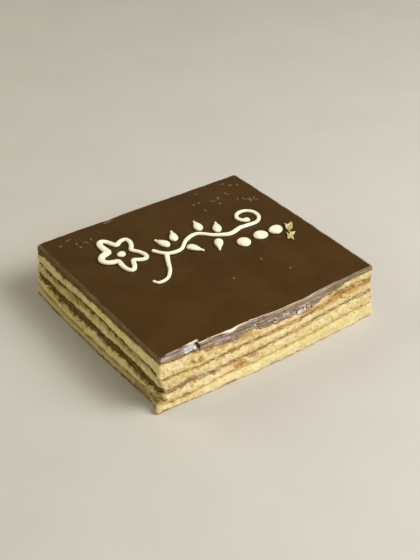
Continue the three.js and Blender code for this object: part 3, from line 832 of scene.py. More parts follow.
def soaked(points, high):
    """How strongly the coffee has soaked down from the top of a sponge."""
    cover = np.zeros(points.shape[:-1])
    uneven = smooth(0.9 + 1.2 * fractal(points, (7, 7, 2.5), 75))
    for side, patches in SOAKED.items():
        for along, reach, depth in patches:
            near = bump(away_from(side, along), 0, reach)
            cover = np.maximum(cover, near * np.exp(-((high - points[..., 2]) / depth).clip(0, 9) ** 1.5))
    return cover * uneven


def sponge_relief(points, rise, seed, coarse, on_ground):
    """How far a sponge stands out of the cut, without its holes."""
    lumps = 0.5 * fractal(points, (10, 10, 6), seed + 20, octaves=2)
    crumb = 0.32 * coarse * fractal(points, 2.4, seed + 30)
    belly = lerp(BELLY, GROUND_BELLY if on_ground else LEFT_BELLY, LEFT_SHARE)
    relief = belly * (np.sin(math.pi * rise) - 0.35) + lumps + crumb + chipped(points)
    if on_ground:
        leaning = LEFT_SHARE * smooth((away_from(LEFT, 0) - 45) / 20) * smooth((143 - away_from(LEFT, 0)) / 8)
        relief -= GROUND_LEAN * leaning * (1 - rise)
    return relief


def browned(points, low, seen_to, seed, crust_and_foot_shade, on_ground):
    """How brown a sponge is at its foot and under its top, with painted contact shade in the lowest one's
    foot on the left, and how much olive painted shade it has along both edges.
    """
    z = points[..., 2]
    ragged = fractal(points, (3.5, 3.5, 1.2), seed + 60)
    long = noise(points, (16, 16, 8), seed + 70)
    reach = CRUST * (1 + 0.4 * long)
    # On the left the lowest sponge's dark foot is painted contact shade as well as crust.
    if on_ground:
        reach = lerp(reach, LEFT_CRUST_AND_SHADE * (1 + 0.5 * long), LEFT_SHARE)
    near_low = smooth((reach + 0.5 * ragged - z + low) / lerp(0.6, 1.4, LEFT_SHARE))
    near_low = crust_and_foot_shade[0] * near_low * smooth(0.9 + 1.4 * ragged)
    near_high = crust_and_foot_shade[1] * bump(seen_to - z, 0, 1.0) * smooth(0.4 + 2.4 * ragged + 0.5 * long)
    from_edge = np.minimum(z - low, seen_to - z)
    # Olive painted shade along both edges.
    edge_shade = smooth((1.3 + 0.6 * ragged - from_edge) / 1.2) * smooth(0.7 + 0.8 * long)
    return np.clip(np.maximum(near_low, near_high), 0, 1), edge_shade


def sponge(place, low, high, seed, coarse, crust_and_foot_shade, tan, painted_shade, soak=False, covered_from=None):
    """A sponge between two heights at the cut. Above covered_from it is smeared over, and keeps back."""
    on_ground = low.max() == 0
    z, out, share = layer_rows(low, high, SPONGE_ROUND, SPONGE_ROWS, GROUND_ROUND if on_ground else None)
    points = on_cut(z, out)
    rise = np.clip((z - low) / (high - low), 0, 1)
    near_edge = np.abs(2 * rise - 1) ** 6
    holes = coarse * np.maximum(pits(points, (3.2, 3.2, 2.2), seed), 0.5 * pits(points, 1.3, seed + 9))
    relief = sponge_relief(points, rise, seed, coarse, on_ground) - 0.45 * holes
    relief += 0.35 * near_edge * noise(points, 1.7, seed + 40)
    if covered_from is not None:
        relief = lerp(relief, -0.5, smooth((z - covered_from + 0.4) / 0.8))
    up = 0.6 * near_edge * (share > 0.5) * (z > 0.2) * fractal(points, 1.9, seed + 50, octaves=2)
    moved = move(points, share * relief, up)
    moved[..., 2] = np.maximum(moved[..., 2], 0)

    seen_to = high if covered_from is None else covered_from
    brown, edge_shade = browned(points, low, seen_to, seed, crust_and_foot_shade, on_ground)
    tan = (tan + CORNER_TAN) * (1 - LEFT_SHARE) * smooth(0.75 + 0.6 * noise(points, (18, 18, 12), seed + 80))
    # The attributes carry painted shade in the holes, along the edges, on the left side and on the right of
    # the front; left marks the left side for its warm painted tint and its shaded copies of crust and stains.
    attributes = {
        "pit_shade": np.clip(holes, 0, 1),
        "crust_and_foot_shade": brown,
        "soak": soaked(points, high) if soak else np.zeros(z.shape),
        "stain": patches_on(points, STAINS),
        "tan": tan,
        "edge": edge_shade,
        "painted_shade": np.broadcast_to(FRONT_SHADE + lerp(*painted_shade, TOWARDS_FRONT) * LEFT_SHARE, z.shape),
        "left": np.broadcast_to(LEFT_SHARE, z.shape),
    }
    piece = ring_body(f"{place}_sponge", moved, [SPONGE], attributes)
    finish_piece(piece, "almond_sponge", f"sponge_{place}")
    hidden_rows = len(UNDER) + len(EDGE_ANGLES)
    return moved[hidden_rows:-hidden_rows]


# ---- Fillings ----

FILLING_ROUND = 0.25
FILLING_ROWS = 6
FILLING_LAP = 0.25          # how far a filling reaches into the sponges above and below
LEFT_RECESS = 1.3           # how much further back it is on the left


def filling(place, kind, low, high, seed, material, back, squeeze, drawn_in=LEFT_SHARE):
    """A filling between two sponges, drawn back from the cut, with painted shade where it is drawn in."""
    z, out, share = layer_rows(low - FILLING_LAP, high + FILLING_LAP, FILLING_ROUND, FILLING_ROWS)
    points = on_cut(z, out)
    relief = back - LEFT_RECESS * drawn_in + chipped(points)
    relief += squeeze * fractal(points, (4, 4, 2), seed) + 0.25 * noise(points, 1.3, seed + 5)
    # Painted shade, as strong as the filling is drawn in.
    attributes = {"deep_shade": np.broadcast_to(np.clip(1.8 * drawn_in, 0, 1), z.shape)}
    piece = ring_body(f"{place}_{kind}", move(points, share * relief, 0 * z), [material], attributes)
    finish_piece(piece, kind, f"{kind}_{place}")


# ---- Chocolate cream and glaze ----

CREAM_OUT = 0.45
CREAM_ROWS = 16
# The torn stretch of its low edge, rough in relief and painted with bright glints and dark shade: where it
# starts and ends along the front, another torn place near the corner, how high above the edge it lies, its
# reach up and down, and how rough it is.
TORN = {"from": 34, "to": 112, "corner": 9, "above": 1.9, "reach": 1.8, "rough": 1.6}
GLAZE_LIP = 0.5             # how far the side of the glaze stands out of the cut


def cream_foot(top):
    """The height of the chocolate cream's low edge at each column."""
    foot = follow_lines(cut_height("spongeTop"), CREAM_FOOT, lambda point: point[1])
    place = at_height(MID_PLAN)
    ragged = lerp(0.9, 2.0, LEFT_SHARE) * fractal(place, 3.2, 91)
    return np.minimum(foot + ragged, top - 0.5)


def torn_along():
    """Where the low edge of the cream is torn on the front."""
    along = away_from(FRONT, 0)
    middle = smooth((along - TORN["from"]) / 4) * smooth((TORN["to"] - along) / 6)
    return np.maximum(middle, 0.6 * bump(along, TORN["corner"], 6)) * (SIDE == FRONT)


def chocolate_cream(foot, top):
    """The cream under the glaze, from its dragged foot up."""
    rows = [(foot + 0.3, -3.0, 0.0), (foot + 0.3, -1.4, 0.2), (foot + 0.05, -0.6, 0.5), (foot, -0.05, 0.8)]
    rows += [(lerp(foot + 0.25, top, t), CREAM_OUT, 1.0) for t in np.linspace(0, 1, CREAM_ROWS)]
    rows += [(top + FILLING_LAP, -1.2, 0.3), (top + FILLING_LAP, -3.0, 0.0)]
    z, out, share = row_arrays(rows)
    points = on_cut(z, out)
    streaks = 0.3 * fractal(points, (14, 14, 0.9), 101)
    blobs = 0.38 * fractal(points, 2.8, 111)
    drag = -0.45 * bump(z, lerp(foot, top, 0.5), 0.4) * smooth(0.5 + 1.4 * noise(points, (9, 9, 3), 115))
    split = cracked()
    low_edge = np.exp(-(z - foot) / 1.1)
    torn_and_painted_light = bump(z, foot + TORN["above"], TORN["reach"]) * torn_along()
    torn_and_painted_light = torn_and_painted_light * smooth(0.6 + 1.5 * fractal(points, 5, 125, octaves=2))
    attributes = {
        "torn_and_painted_light": 0.9 * torn_and_painted_light,
        "facet_glint": np.zeros(z.shape),
        "crack_shade": np.broadcast_to(np.clip(1.5 * split, 0, 1), z.shape),
        "mauve_sheen": patches_on(points, MAUVE_SHEEN),
        "dull_and_shade": np.broadcast_to(dulled_and_shaded(), z.shape),
        "rim_highlight": np.zeros(z.shape),
        "brown": np.clip(1.3 * low_edge * smooth(0.45 + 1.8 * fractal(points, 4, 121, octaves=2)), 0, 1),
    }
    relief = streaks + blobs + drag - 0.7 * CRACK["depth"] * split
    relief += TORN["rough"] * torn_and_painted_light * fractal(points, 1.5, 127, octaves=2)
    moved = move(points, share * relief, 0 * z)
    piece = ring_body("chocolate_cream_layer", moved, [CUT_CHOCOLATE], attributes)
    finish_piece(piece, "chocolate_cream", "chocolate_cream_top")


EDGE_IN, EDGE_DOWN = 0.9, 0.5           # how far the glaze's broken edge goes in and down
FRONT_IN = 1.5                          # and in on the front
LEFT_IN, LEFT_DOWN = 1.8, 1.5           # on the left
BEVEL_ROUND = 0.5                       # 0 is a flat bevel and 1 a quarter circle
GLAZE_SIDE_ROWS = 7
EDGE_SHARES = np.linspace(0, 1, 8)[1:]  # rows up the broken edge
NEAR_RINGS, NEAR_STEP = 18, 0.42        # rings close to the edge, where the glaze sags or is cracked
FAR_RINGS = 25
RING_CENTRE = 75                        # from the edge in to the middle
GLAZE_WAVE = 0.12                       # unevenness of the top
# The crack in the front edge, and how far in from the edge it fades.
CRACK = {"x": -52.0, "half_width": 0.65, "depth": 3.2, "fade": 3.4}
# The glaze sags at the front left corner: x, how far in from the front edge, how deep at the edge.
SAG = ((-79, 0.1, 0.2), (-75, 2, 1.4), (-70, 4, 1.6), (-62, 3.8, 1.5), (-53, 3.3, 1.3))
# A flake of glaze lifted at its edge, whose facet shows in the sag with a painted pale reflection and whose
# ridge has a painted highlight: the ends of its ridge, how high that is, and the ends of the pale facet.
FLAKE = {"from": -62, "to": -50, "rise": 1.3, "facet_from": -60.3, "facet_to": -52.8}
# Where the lip of the glaze is chipped or drawn back: millimetres along the side, reach, out.
NICKS = {
    FRONT: ((0, 3.0, -0.9), (33, 0.5, -0.5), (63, 0.6, -0.6), (71, 0.5, -0.6), (85, 0.5, -0.4)),
    LEFT: ((60, 2.0, -0.3),),
    RIGHT: ((50, 1.2, -0.4),),
    BACK: ((104, 5.0, -0.8),),
}
# How strongly a highlight is painted on the broken edge: millimetres along the front, strength.
SHINE = ((0, 0), (4, 0.1), (25, 0.1), (27, 1), (33, 0.8), (34, 0.2), (35, 0.8), (44, 1), (60, 0.9), (61, 0.1),
         (62, 0.75), (80, 0.6), (104, 0.5), (112, 0.4), (125, 0.2), (157, 0.1))
# Where that edge is steep and its painted highlight reaches down to its foot, and how far in and down it goes
# there, as shares.
STEEP = {"along": 48.5, "reach": 4.5, "in": 0.75, "down": 2.4}
# Where the side of the glaze is stained brown near its foot, on the front.
CORNER_STAIN = {"along": 10, "reach": 9, "height": 2.2, "strength": 0.65}
DULL_END = 0.45             # how dull and dark the right end of the front is painted
FRONT_EDGE = -DEPTH / 2 + CORNER_TOP[0][1]


def dulled_and_shaded():
    """How dull and dark the cut chocolate is painted at each column: all of the left side, where the dark is
    partly painted shade, and the right end of the front.
    """
    front = DULL_END * smooth((away_from(FRONT, 0) - 118) / 10) * (SIDE == FRONT)
    return np.maximum(LEFT_SHARE * (1 - 0.06 * TOWARDS_FRONT), front)


def cracked():
    """1 in the middle of the crack in the front edge, and 0 away from it, at each column."""
    from_crack = np.abs(MID_PLAN[:, 0] - CRACK["x"]) / CRACK["half_width"]
    return np.clip(1.25 - from_crack, 0, 1) * (SIDE == FRONT)


def steepness():
    """How steep the broken edge is at each column."""
    return bump(away_from(FRONT, STEEP["along"]), 0, STEEP["reach"])


def sag_at(x):
    """How far back from the front edge the glaze sags at x, and how deep."""
    sag_x, reach, fall = zip(*SAG)
    return np.interp(x, sag_x, reach), np.interp(x, sag_x, fall)


def glaze_sag(plan):
    """How far the glaze lies below its level top near the front left corner."""
    reach, fall = sag_at(plan[..., 0])
    fall = fall * (plan[..., 0] < CRACK["x"])
    return fall * np.clip(1 - (plan[..., 1] - FRONT_EDGE) / reach, 0, 1.2)


def flake_ridge(plan):
    """1 on the raised edge of the flake, and 0 away from it."""
    x, y = plan[..., 0], plan[..., 1]
    along = np.clip((x - FLAKE["from"]) / (FLAKE["to"] - FLAKE["from"]), 0, 1) ** 1.5 * (x < FLAKE["to"])
    return along * bump(y, FRONT_EDGE + sag_at(x)[0], 0.5)


def on_facet(points, foot):
    """1 on the flake's facet, where a pale reflection is painted, and 0 away from it."""
    x, y, z = np.moveaxis(points, -1, 0)
    ragged = fractal(points, 2.4, 181)
    after_start = smooth(x - FLAKE["facet_from"] + 2.6 * ragged)
    before_end = smooth((FLAKE["facet_to"] - x + 0.8 * ragged) / 0.5)
    under_ridge = smooth((FRONT_EDGE + sag_at(x)[0] - 1.1 - y + ragged) / 0.5)
    return after_start * before_end * under_ridge * (y < 0) * smooth((z - foot - 0.6) / 0.5)


def edge_lip():
    """How far the side of the glaze stands out of the cut at each column."""
    place = at_height(MID_PLAN)
    lip = GLAZE_LIP + lerp(0.2, 0.08, LEFT_SHARE) * fractal(place, 6, 141)
    for side, nicks in NICKS.items():
        for along, reach, amount in nicks:
            lip += amount * bump(away_from(side, along), 0, reach)
    return lip - CRACK["depth"] * cracked()


def glaze_side(foot, top):
    """The side of the glaze, from under it up over its broken edge."""
    place = at_height(MID_PLAN)
    uneven = 1 + 0.35 * fractal(place, 7, 131, octaves=2)
    on_front = softened(1.0 * (SIDE == FRONT), 8)
    edge_in = lerp(lerp(EDGE_IN, FRONT_IN, on_front), LEFT_IN, LEFT_SHARE)
    edge_in = edge_in * uneven * lerp(1, STEEP["in"], steepness())
    edge_down = lerp(EDGE_DOWN, LEFT_DOWN, LEFT_SHARE) * uneven * lerp(1, STEEP["down"], steepness())
    edge_down = np.clip(edge_down, 0.3, top - foot - 0.4)

    lip, edge_foot = edge_lip(), top - edge_down
    rows = [(foot, lip - 4, 0.0), (foot, lip - 1.2, 0.5), (foot, lip - 0.1, 1.0)]
    rows += [(lerp(foot + 0.15, edge_foot, t), lip, 1.0) for t in np.linspace(0, 1, GLAZE_SIDE_ROWS)]
    for t in EDGE_SHARES:
        up = lerp(t, math.sin(t * math.pi / 2), BEVEL_ROUND)
        into = lerp(t, 1 - math.cos(t * math.pi / 2), BEVEL_ROUND)
        rows.append((edge_foot + edge_down * up, lip - edge_in * into, 1 - t))
    z, out, share = row_arrays(rows)
    points = on_cut(z, out)
    relief = 0.2 * fractal(points, (16, 16, 0.8), 151)
    relief += 0.15 * fractal(points, 3.5, 161, octaves=2)
    return move(points, share * relief, 0 * z)


def glaze_top(level, edge):
    """Rings of points from the edge in to the middle, and how far the glaze sags at each. Those close to the
    edge follow its detail."""
    base = level + NORMALS * GLAZE_LIP
    near = np.arange(1, NEAR_RINGS + 1) * NEAR_STEP
    inwards = np.concatenate([near, np.linspace(near[-1], RING_CENTRE - 1, FAR_RINGS + 1)[1:]])
    detail = np.clip(1 - inwards / CRACK["fade"], 0, 1)[:, None, None] * (edge[:, :2] - base)
    plan = base * (1 - inwards[:, None, None] / RING_CENTRE) + detail
    sag = glaze_sag(plan)
    wave = GLAZE_WAVE * np.clip(inwards / 6, 0, 1)[:, None] * fractal(at_height(plan), 34, 171, octaves=2)
    height = TOP - sag + wave + FLAKE["rise"] * flake_ridge(plan)
    return np.concatenate([plan, height[..., None]], axis=-1), sag


def glaze_looks(points, side_rows, foot, sag):
    """The attributes of the glaze."""
    z, row = points[..., 2], np.arange(len(points))[:, None]
    stain = CORNER_STAIN["strength"] * bump(away_from(FRONT, CORNER_STAIN["along"]), 0, CORNER_STAIN["reach"])
    stain = stain * smooth(foot + CORNER_STAIN["height"] - z)
    stain = stain * smooth(0.8 + 1.2 * fractal(points, 2.4, 181))
    shine = np.interp(away_from(FRONT, 0), *zip(*SHINE)) * (SIDE == FRONT)
    shines_from = lerp(0.7, 0, steepness())
    # The painted highlight on the broken edge, and along the flake's ridge.
    rim_highlight = np.zeros(z.shape)
    rim_highlight[side_rows - len(EDGE_SHARES):side_rows] = shine * smooth((EDGE_SHARES[:, None] - shines_from) / 0.25)
    rim_highlight[side_rows] = 0.8 * shine * (1 - steepness())
    return {
        "facet_glint": np.clip(on_facet(points, foot), 0, 1),
        "torn_and_painted_light": np.zeros(z.shape),
        "brown": stain * (row < side_rows),
        "crack_shade": np.clip(1.5 * cracked(), 0, 1) * (row < side_rows + 2),
        "mauve_sheen": patches_on(points, MAUVE_SHEEN) * (row < side_rows),
        "dull_and_shade": np.broadcast_to(dulled_and_shaded(), z.shape),
        "rim_highlight": np.maximum(rim_highlight, smooth(2.5 * flake_ridge(points[..., :2]))),
        "worn_and_sheen": np.concatenate([lerp(1, 0.15, dulled_and_shaded()) + np.zeros((side_rows, 1)), smooth(sag / 0.25)]),
    }


def glaze(foot):
    """The dark sheet on top, whose sides and broken edge are cut chocolate."""
    level = cut_plan(np.full(COLUMNS, TOP))
    top_of_edge = TOP - glaze_sag(level)
    foot = np.minimum(foot, top_of_edge - 1.5)
    side = glaze_side(foot, top_of_edge)
    top, sag = glaze_top(level, side[-1])
    points = np.concatenate([side, top])
    attributes = glaze_looks(points, len(side), foot, sag)
    piece = ring_body("dark_glaze_sheet", points, [CUT_CHOCOLATE, GLAZE], attributes, strips=4,
                      wall_rows=len(side), wall_share=0.17)
    index = np.zeros(len(piece.data.polygons), np.int32)
    index[(len(side) - 2) * COLUMNS:(len(points) - 1) * COLUMNS] = 1
    index[-COLUMNS:] = 1
    piece.data.polygons.foreach_set("material_index", index)
    finish_piece(piece, "dark_glaze", "chocolate_glaze")


# ---- Piping ----

ON_GLAZE = TOP + 0.1
LINE = 3.1                  # width of a piped line
LINE_HEIGHT = 1.9
STROKE_STEP = 0.35
STROKE_SIDES = 16
VOXEL = 0.3
# How a line or a drop is rounded: how far round below its widest place it goes, how quickly it draws in
# there, and how high its widest place is, as a share of its height.
LINE_FORM = {"under": 0.42, "drawn_in": 1.6, "widest": 0.34}
DROP_FORM = {"under": 0.45, "drawn_in": 1.2, "widest": 0.26}


def rounded(angle, form):
    """How far out and how high a rounded form is, as shares, at an angle up from its widest place."""
    out = np.cos(np.where(angle < 0, form["drawn_in"], 1) * angle)
    below = form["widest"] * (1 + np.sin(angle) / math.sin(form["under"]))
    return out, np.where(angle < 0, below, lerp(form["widest"], 1, np.sin(angle)))


def evenly(points, way, count, endpoint=True):
    """Points at even steps along a line in plan, from how far along it its own points stand."""
    even = np.linspace(0, way[-1], count, endpoint=endpoint)
    return np.column_stack([np.interp(even, way, points[:, k]) for k in range(2)])


def through(points, closed=False):
    """A centripetal Catmull-Rom curve through points in plan, cut into even steps, and its length."""
    points = np.array(points, float)
    if closed:
        padded = np.concatenate([points[-1:], points, points[:2]])
    else:
        padded = np.concatenate([2 * points[:1] - points[1:2], points, 2 * points[-1:] - points[-2:-1]])
    dense = []
    t = np.linspace(0, 1, 40, endpoint=False)[:, None]
    for p0, p1, p2, p3 in zip(padded, padded[1:], padded[2:], padded[3:]):
        d0, d1, d2 = (np.linalg.norm(b - a) ** 0.5 for a, b in ((p0, p1), (p1, p2), (p2, p3)))
        m1 = d1 * ((p1 - p0) / d0 - (p2 - p0) / (d0 + d1) + (p2 - p1) / d1)
        m2 = d1 * ((p2 - p1) / d1 - (p3 - p1) / (d1 + d2) + (p3 - p2) / d2)
        dense.append(p1 + m1 * t + (3 * (p2 - p1) - 2 * m1 - m2) * t**2 + (2 * (p1 - p2) + m1 + m2) * t**3)
    dense.append(padded[-2:-1])
    dense = np.concatenate(dense)
    way = distances(dense)
    return evenly(dense, way, max(8, round(way[-1] / STROKE_STEP))), way[-1]


def stroke(points, width_at, seed, closed=False):
    """A piped line with a rounded top and a flat foot, as vertices and faces."""
    line, length = through(points, closed)
    share = np.linspace(0, 1, len(line))
    place = at_height(line)
    width = width_at(share) * (1 + 0.10 * fractal(place, 6, seed, octaves=2))
    height = LINE_HEIGHT * np.sqrt(width / LINE) * (1 + 0.12 * fractal(place, 5, seed + 3, octaves=2))
    if not closed:
        to_end = np.minimum(share, 1 - share) * length / (width / 2)
        cap = np.sqrt(np.clip(1 - (1 - np.clip(to_end, 0, 1)) ** 2, 0.0, 1))
        width, height = width * np.maximum(cap, 0.05), height * np.maximum(cap, 0.1) ** 0.8
    tangent = np.gradient(line, axis=0)
    if closed:
        tangent[0] = tangent[-1] = line[1] - line[-2]
    tangent /= np.linalg.norm(tangent, axis=1, keepdims=True)
    aside = np.column_stack([-tangent[:, 1], tangent[:, 0]])

    angles = np.linspace(-LINE_FORM["under"], math.pi + LINE_FORM["under"], STROKE_SIDES)
    out, up = rounded(np.minimum(angles, math.pi - angles), LINE_FORM)
    out = out * np.sign(np.cos(angles))
    rings = line[:, None] + aside[:, None] * (out[None, :, None] * width[:, None, None] / 2)
    vertices = np.concatenate([rings, (up * height[:, None])[..., None]], axis=-1)
    if closed:
        vertices = vertices[:-1]
    return vertices.reshape(-1, 3), tube_faces(len(vertices), STROKE_SIDES, closed)


def drop_shape(radius, height, seed, lean=0.0):
    """A domed drop as vertices and faces, a little out of round."""
    turns, rings = 56, 20
    angle = np.linspace(0, 2 * math.pi, turns, endpoint=False)
    reach = 1 + 0.05 * np.cos(2 * angle + seed) + 0.025 * np.cos(3 * angle + 2 * seed)
    rise = np.linspace(-DROP_FORM["under"], math.pi / 2, rings, endpoint=False)[:, None]
    out, up = rounded(rise, DROP_FORM)
    out = radius * out**0.8 * reach
    shape = np.stack([out * np.cos(angle) + lean * up, out * np.sin(angle), height * up + 0 * angle], axis=-1)
    vertices = np.concatenate([[[0, 0, 0]], shape.reshape(-1, 3), [[lean, 0, height]]])
    vertices[:, 2] += 0.08 * noise(vertices, 2.5, seed + 60) * (vertices[:, 2] > 0.3 * height)
    return vertices, ring_faces(rings, turns)


def melt(piece):
    """Melts the shapes of a piece together where they meet."""
    voxels = piece.modifiers.new("melt", "REMESH")
    voxels.mode = "VOXEL"
    voxels.voxel_size = VOXEL * MM
    voxels.use_smooth_shade = True
    soften = piece.modifiers.new("soften", "SMOOTH")
    soften.factor = 0.5
    soften.iterations = 6
    graph = bpy.context.evaluated_depsgraph_get()
    made = bpy.data.meshes.new_from_object(piece.evaluated_get(graph))
    piece.modifiers.clear()
    piece.data = made


def piped(name, node, shapes, place=(0, 0), melted=True):
    """Joins shapes into one piped piece."""
    vertices, faces = joined(shapes)
    piece = make_object(name, vertices + (*place, ON_GLAZE), faces, [WHITE_CHOCOLATE])
    if melted:
        melt(piece)
    finish_piece(piece, "white_chocolate", node)


FLOWER = {"x": -39, "y": 32, "across": 14, "along": 20.5, "petals": 5, "dip": 0.46, "centre": 0.62}
# The stretch of the flower's line that is thicker: where it is along the line, as shares, and by how much.
THICK_PETALS = {"at": 0.42, "reach": 0.16, "extra": 0.55}
STEM = ((-21.5, 24), (-15, 15), (-6, 14), (3, 21), (12, 23.5), (21, 15.5), (30, 10.5), (40, 12.5))
TAIL = ((-15.6, 15.6), (-20, 7), (-24.5, -2), (-30.5, -8), (-37, -8.6), (-39, -4.6))
SCROLL = {"x": 50.5, "y": 21.5, "radius": 10.4, "start": -2.0, "sweep": 6.9, "shrink": 0.66, "steps": 10}
# Each leaf: x, y and turn.
LEAVES = ((-11.5, 27.5, 1.9), (-1, 30.5, 1.2), (2.5, 9.5, -1.0), (18.5, 31.5, 1.35), (28, 22.5, 1.1),
          (17, 4.2, -2.1))
LEAF = {"length": 12.5, "width": 6, "tip": 0.3, "widest": 0.3}
DROP_RADIUS, DROP_HEIGHT = 4.6, 2.7
DROP_SEEDS = (3, 7, 12)


def flower_points():
    angle = np.arange(64) * 2 * math.pi / 64
    reach = 1 - FLOWER["dip"] * (1 + np.cos(FLOWER["petals"] * angle)) / 2
    return np.column_stack([FLOWER["x"] + FLOWER["across"] * reach * np.cos(angle),
                            FLOWER["y"] + FLOWER["along"] * reach * np.sin(angle)])


def scroll_points():
    share = np.arange(SCROLL["steps"] + 1) / SCROLL["steps"]
    angle = SCROLL["start"] + SCROLL["sweep"] * share
    reach = SCROLL["radius"] * (1 - SCROLL["shrink"] * share)
    return np.column_stack([SCROLL["x"] + reach * np.cos(angle), SCROLL["y"] + reach * np.sin(angle)])


def add_flower():
    def petal_width(share):
        return LINE * (1 + THICK_PETALS["extra"] * bump(share, THICK_PETALS["at"], THICK_PETALS["reach"]))

    piped("flower_piping", "piped_flower", [stroke(flower_points(), petal_width, 201, closed=True)])
    bead = drop_shape(DROP_RADIUS * FLOWER["centre"], DROP_HEIGHT * FLOWER["centre"], 5)
    piped("flower_bead", "piped_flower_centre", [bead], (FLOWER["x"], FLOWER["y"]), melted=False)


def add_vine():
    def stem_width(share):
        return LINE * (0.9 + 0.6 * bump(share, 1, 0.035) + 0.25 * bump(share, 0.5, 0.1))

    def tail_width(share):
        return LINE * (1.05 - 0.4 * share)

    stem = stroke(np.concatenate([STEM, scroll_points()]), stem_width, 211)
    piped("vine_piping", "piped_vine", [stem, stroke(TAIL, tail_width, 221)])


def add_leaves():
    def leaf_width(share):
        swell = np.sin(math.pi * np.minimum(1, share + 0.5 - LEAF["widest"]))
        return LEAF["width"] * lerp(LEAF["tip"], 1, swell)

    for number, (x, y, turn) in enumerate(LEAVES, 1):
        half = np.array([math.cos(turn), math.sin(turn)]) * LEAF["length"] / 2
        leaf = stroke([-half, (0, 0), half], leaf_width, 230 + number)
        piped(f"leaf_piping_{number}", f"piped_leaf_{number}", [leaf], (x, y))


def middle_of(node):
    """Where the middle of a CAD node is in plan."""
    low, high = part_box(node)
    middle = (low + high) / 2 / MM
    return middle.x, middle.y


def add_drops():
    for number, seed in enumerate(DROP_SEEDS, 1):
        node = f"piped_drop_{number}"
        drop = drop_shape(DROP_RADIUS, DROP_HEIGHT, seed, lean=0.25)
        piped(f"drop_piping_{number}", node, [drop], middle_of(node), melted=False)


# ---- Gold leaf ----

LEAF_SHEET = 0.12           # thickness
LEAF_RISE = 1.5
# Each scrap: its number, where its middle lies from that of the CAD's flake, its seed and its torn outline.
FLAKES = (
    (1, (-0.1, -0.5), 31, ((0, 5), (0.5, 2), (5, 3.5), (3, 0), (1, -2.5), (-4, -5), (-3, -0.5), (-1.5, 2))),
    (2, (-0.6, -1.0), 47, ((0, 4.5), (0.5, 2), (2.5, 3.5), (5, 1.5), (1.5, -0.5), (-1, -5), (-2, -2),
                           (-3.5, -1.5), (-1.5, 1.5))),
)


def gold_flake(number, shift, seed, outline):
    """A crumpled scrap of leaf: a thin sheet with a torn edge and sharp folds."""
    rings, turns = 18, 90
    edge = np.array(outline + outline[:1], float)[::-1]
    edge = evenly(edge, distances(edge), turns, endpoint=False)
    place = np.column_stack([edge, edge[:, :1]])
    edge += 0.25 * np.column_stack([noise(place, 0.8, seed + k) for k in range(2)])
    radius = np.linspace(0, 1, rings + 1)[1:, None]
    x, y = radius * edge[:, 0], radius * edge[:, 1]
    flat = np.stack([x, y, np.zeros(x.shape)], axis=-1)
    folds = 1 - np.abs(noise(flat, 3.2, seed)) * 1.5
    z = LEAF_RISE * (0.2 + 0.45 * np.clip(folds, 0, 1) + 0.4 * radius * smooth(0.5 + y / 5))
    z = np.clip(z + 0.15 * noise(flat, 1.4, seed + 5), 0.15, LEAF_RISE + 0.4)

    node = f"gold_flake_{number}"
    middle = np.array(middle_of(node)) + shift
    upper = np.stack([x, y, z], axis=-1) + (*middle, TOP)
    upper_middle = np.array([[*middle, TOP + z[0].mean()]])
    down = (0, 0, LEAF_SHEET)
    vertices = np.concatenate([upper_middle - down, (upper - down).reshape(-1, 3), upper[::-1].reshape(-1, 3),
                               upper_middle])
    piece = make_object(f"gold_leaf_{number}", vertices, ring_faces(2 * rings, turns), [GOLD_LEAF])
    finish_piece(piece, "gold_leaf", node)


# ---- Crumbs and scuffs ----


def crumb_shapes(places, sizes, rng, flat=0.75):
    """Small lumps, each an uneven ball, as one set of vertices and faces."""
    ball = bmesh.new()
    bmesh.ops.create_icosphere(ball, subdivisions=2, radius=0.5)
    shape = np.array([v.co for v in ball.verts])
    corners = [[v.index for v in face.verts] for face in ball.faces]
    ball.free()
    lumps = []
    for number, (place, size) in enumerate(zip(places, sizes)):
        turn = np.array(Euler(rng.uniform(0, 2 * math.pi, 3)).to_matrix())
        lump = shape * (1 + 0.5 * noise(shape * 3 + number * 7.3, 1.0, number)[:, None])
        lump = (lump * rng.uniform((0.7, 0.7, flat * 0.7), (1.2, 1.2, flat))) @ turn.T * size
        lumps.append((lump + place, corners))
    return joined(lumps)


def add_crumbs(name, walls, count, largest, seed, material, slot, keys):
    """Loose crumbs that cling to the cut, most of them at the edges of the layers."""
    rng = np.random.default_rng(seed)
    places, sizes = [], []
    for wall in walls:
        for _ in range(count):
            row = int(rng.beta(0.6, 0.6) * (len(wall) - 1))
            column = rng.integers(COLUMNS)
            size = rng.uniform(0.4, 1) * rng.uniform(0.6, 1) * largest
            places.append(wall[row, column] + np.array([*NORMALS[column] * size * 0.15, 0]))
            sizes.append(size)
    vertices, faces = crumb_shapes(places, sizes, rng)
    vertices[:, 2] = np.maximum(vertices[:, 2], 0.02)
    piece = make_object(name, vertices, faces, [material])
    for key in keys:
        add_attribute(piece, key, np.zeros(len(vertices)))
    finish_piece(piece, slot)


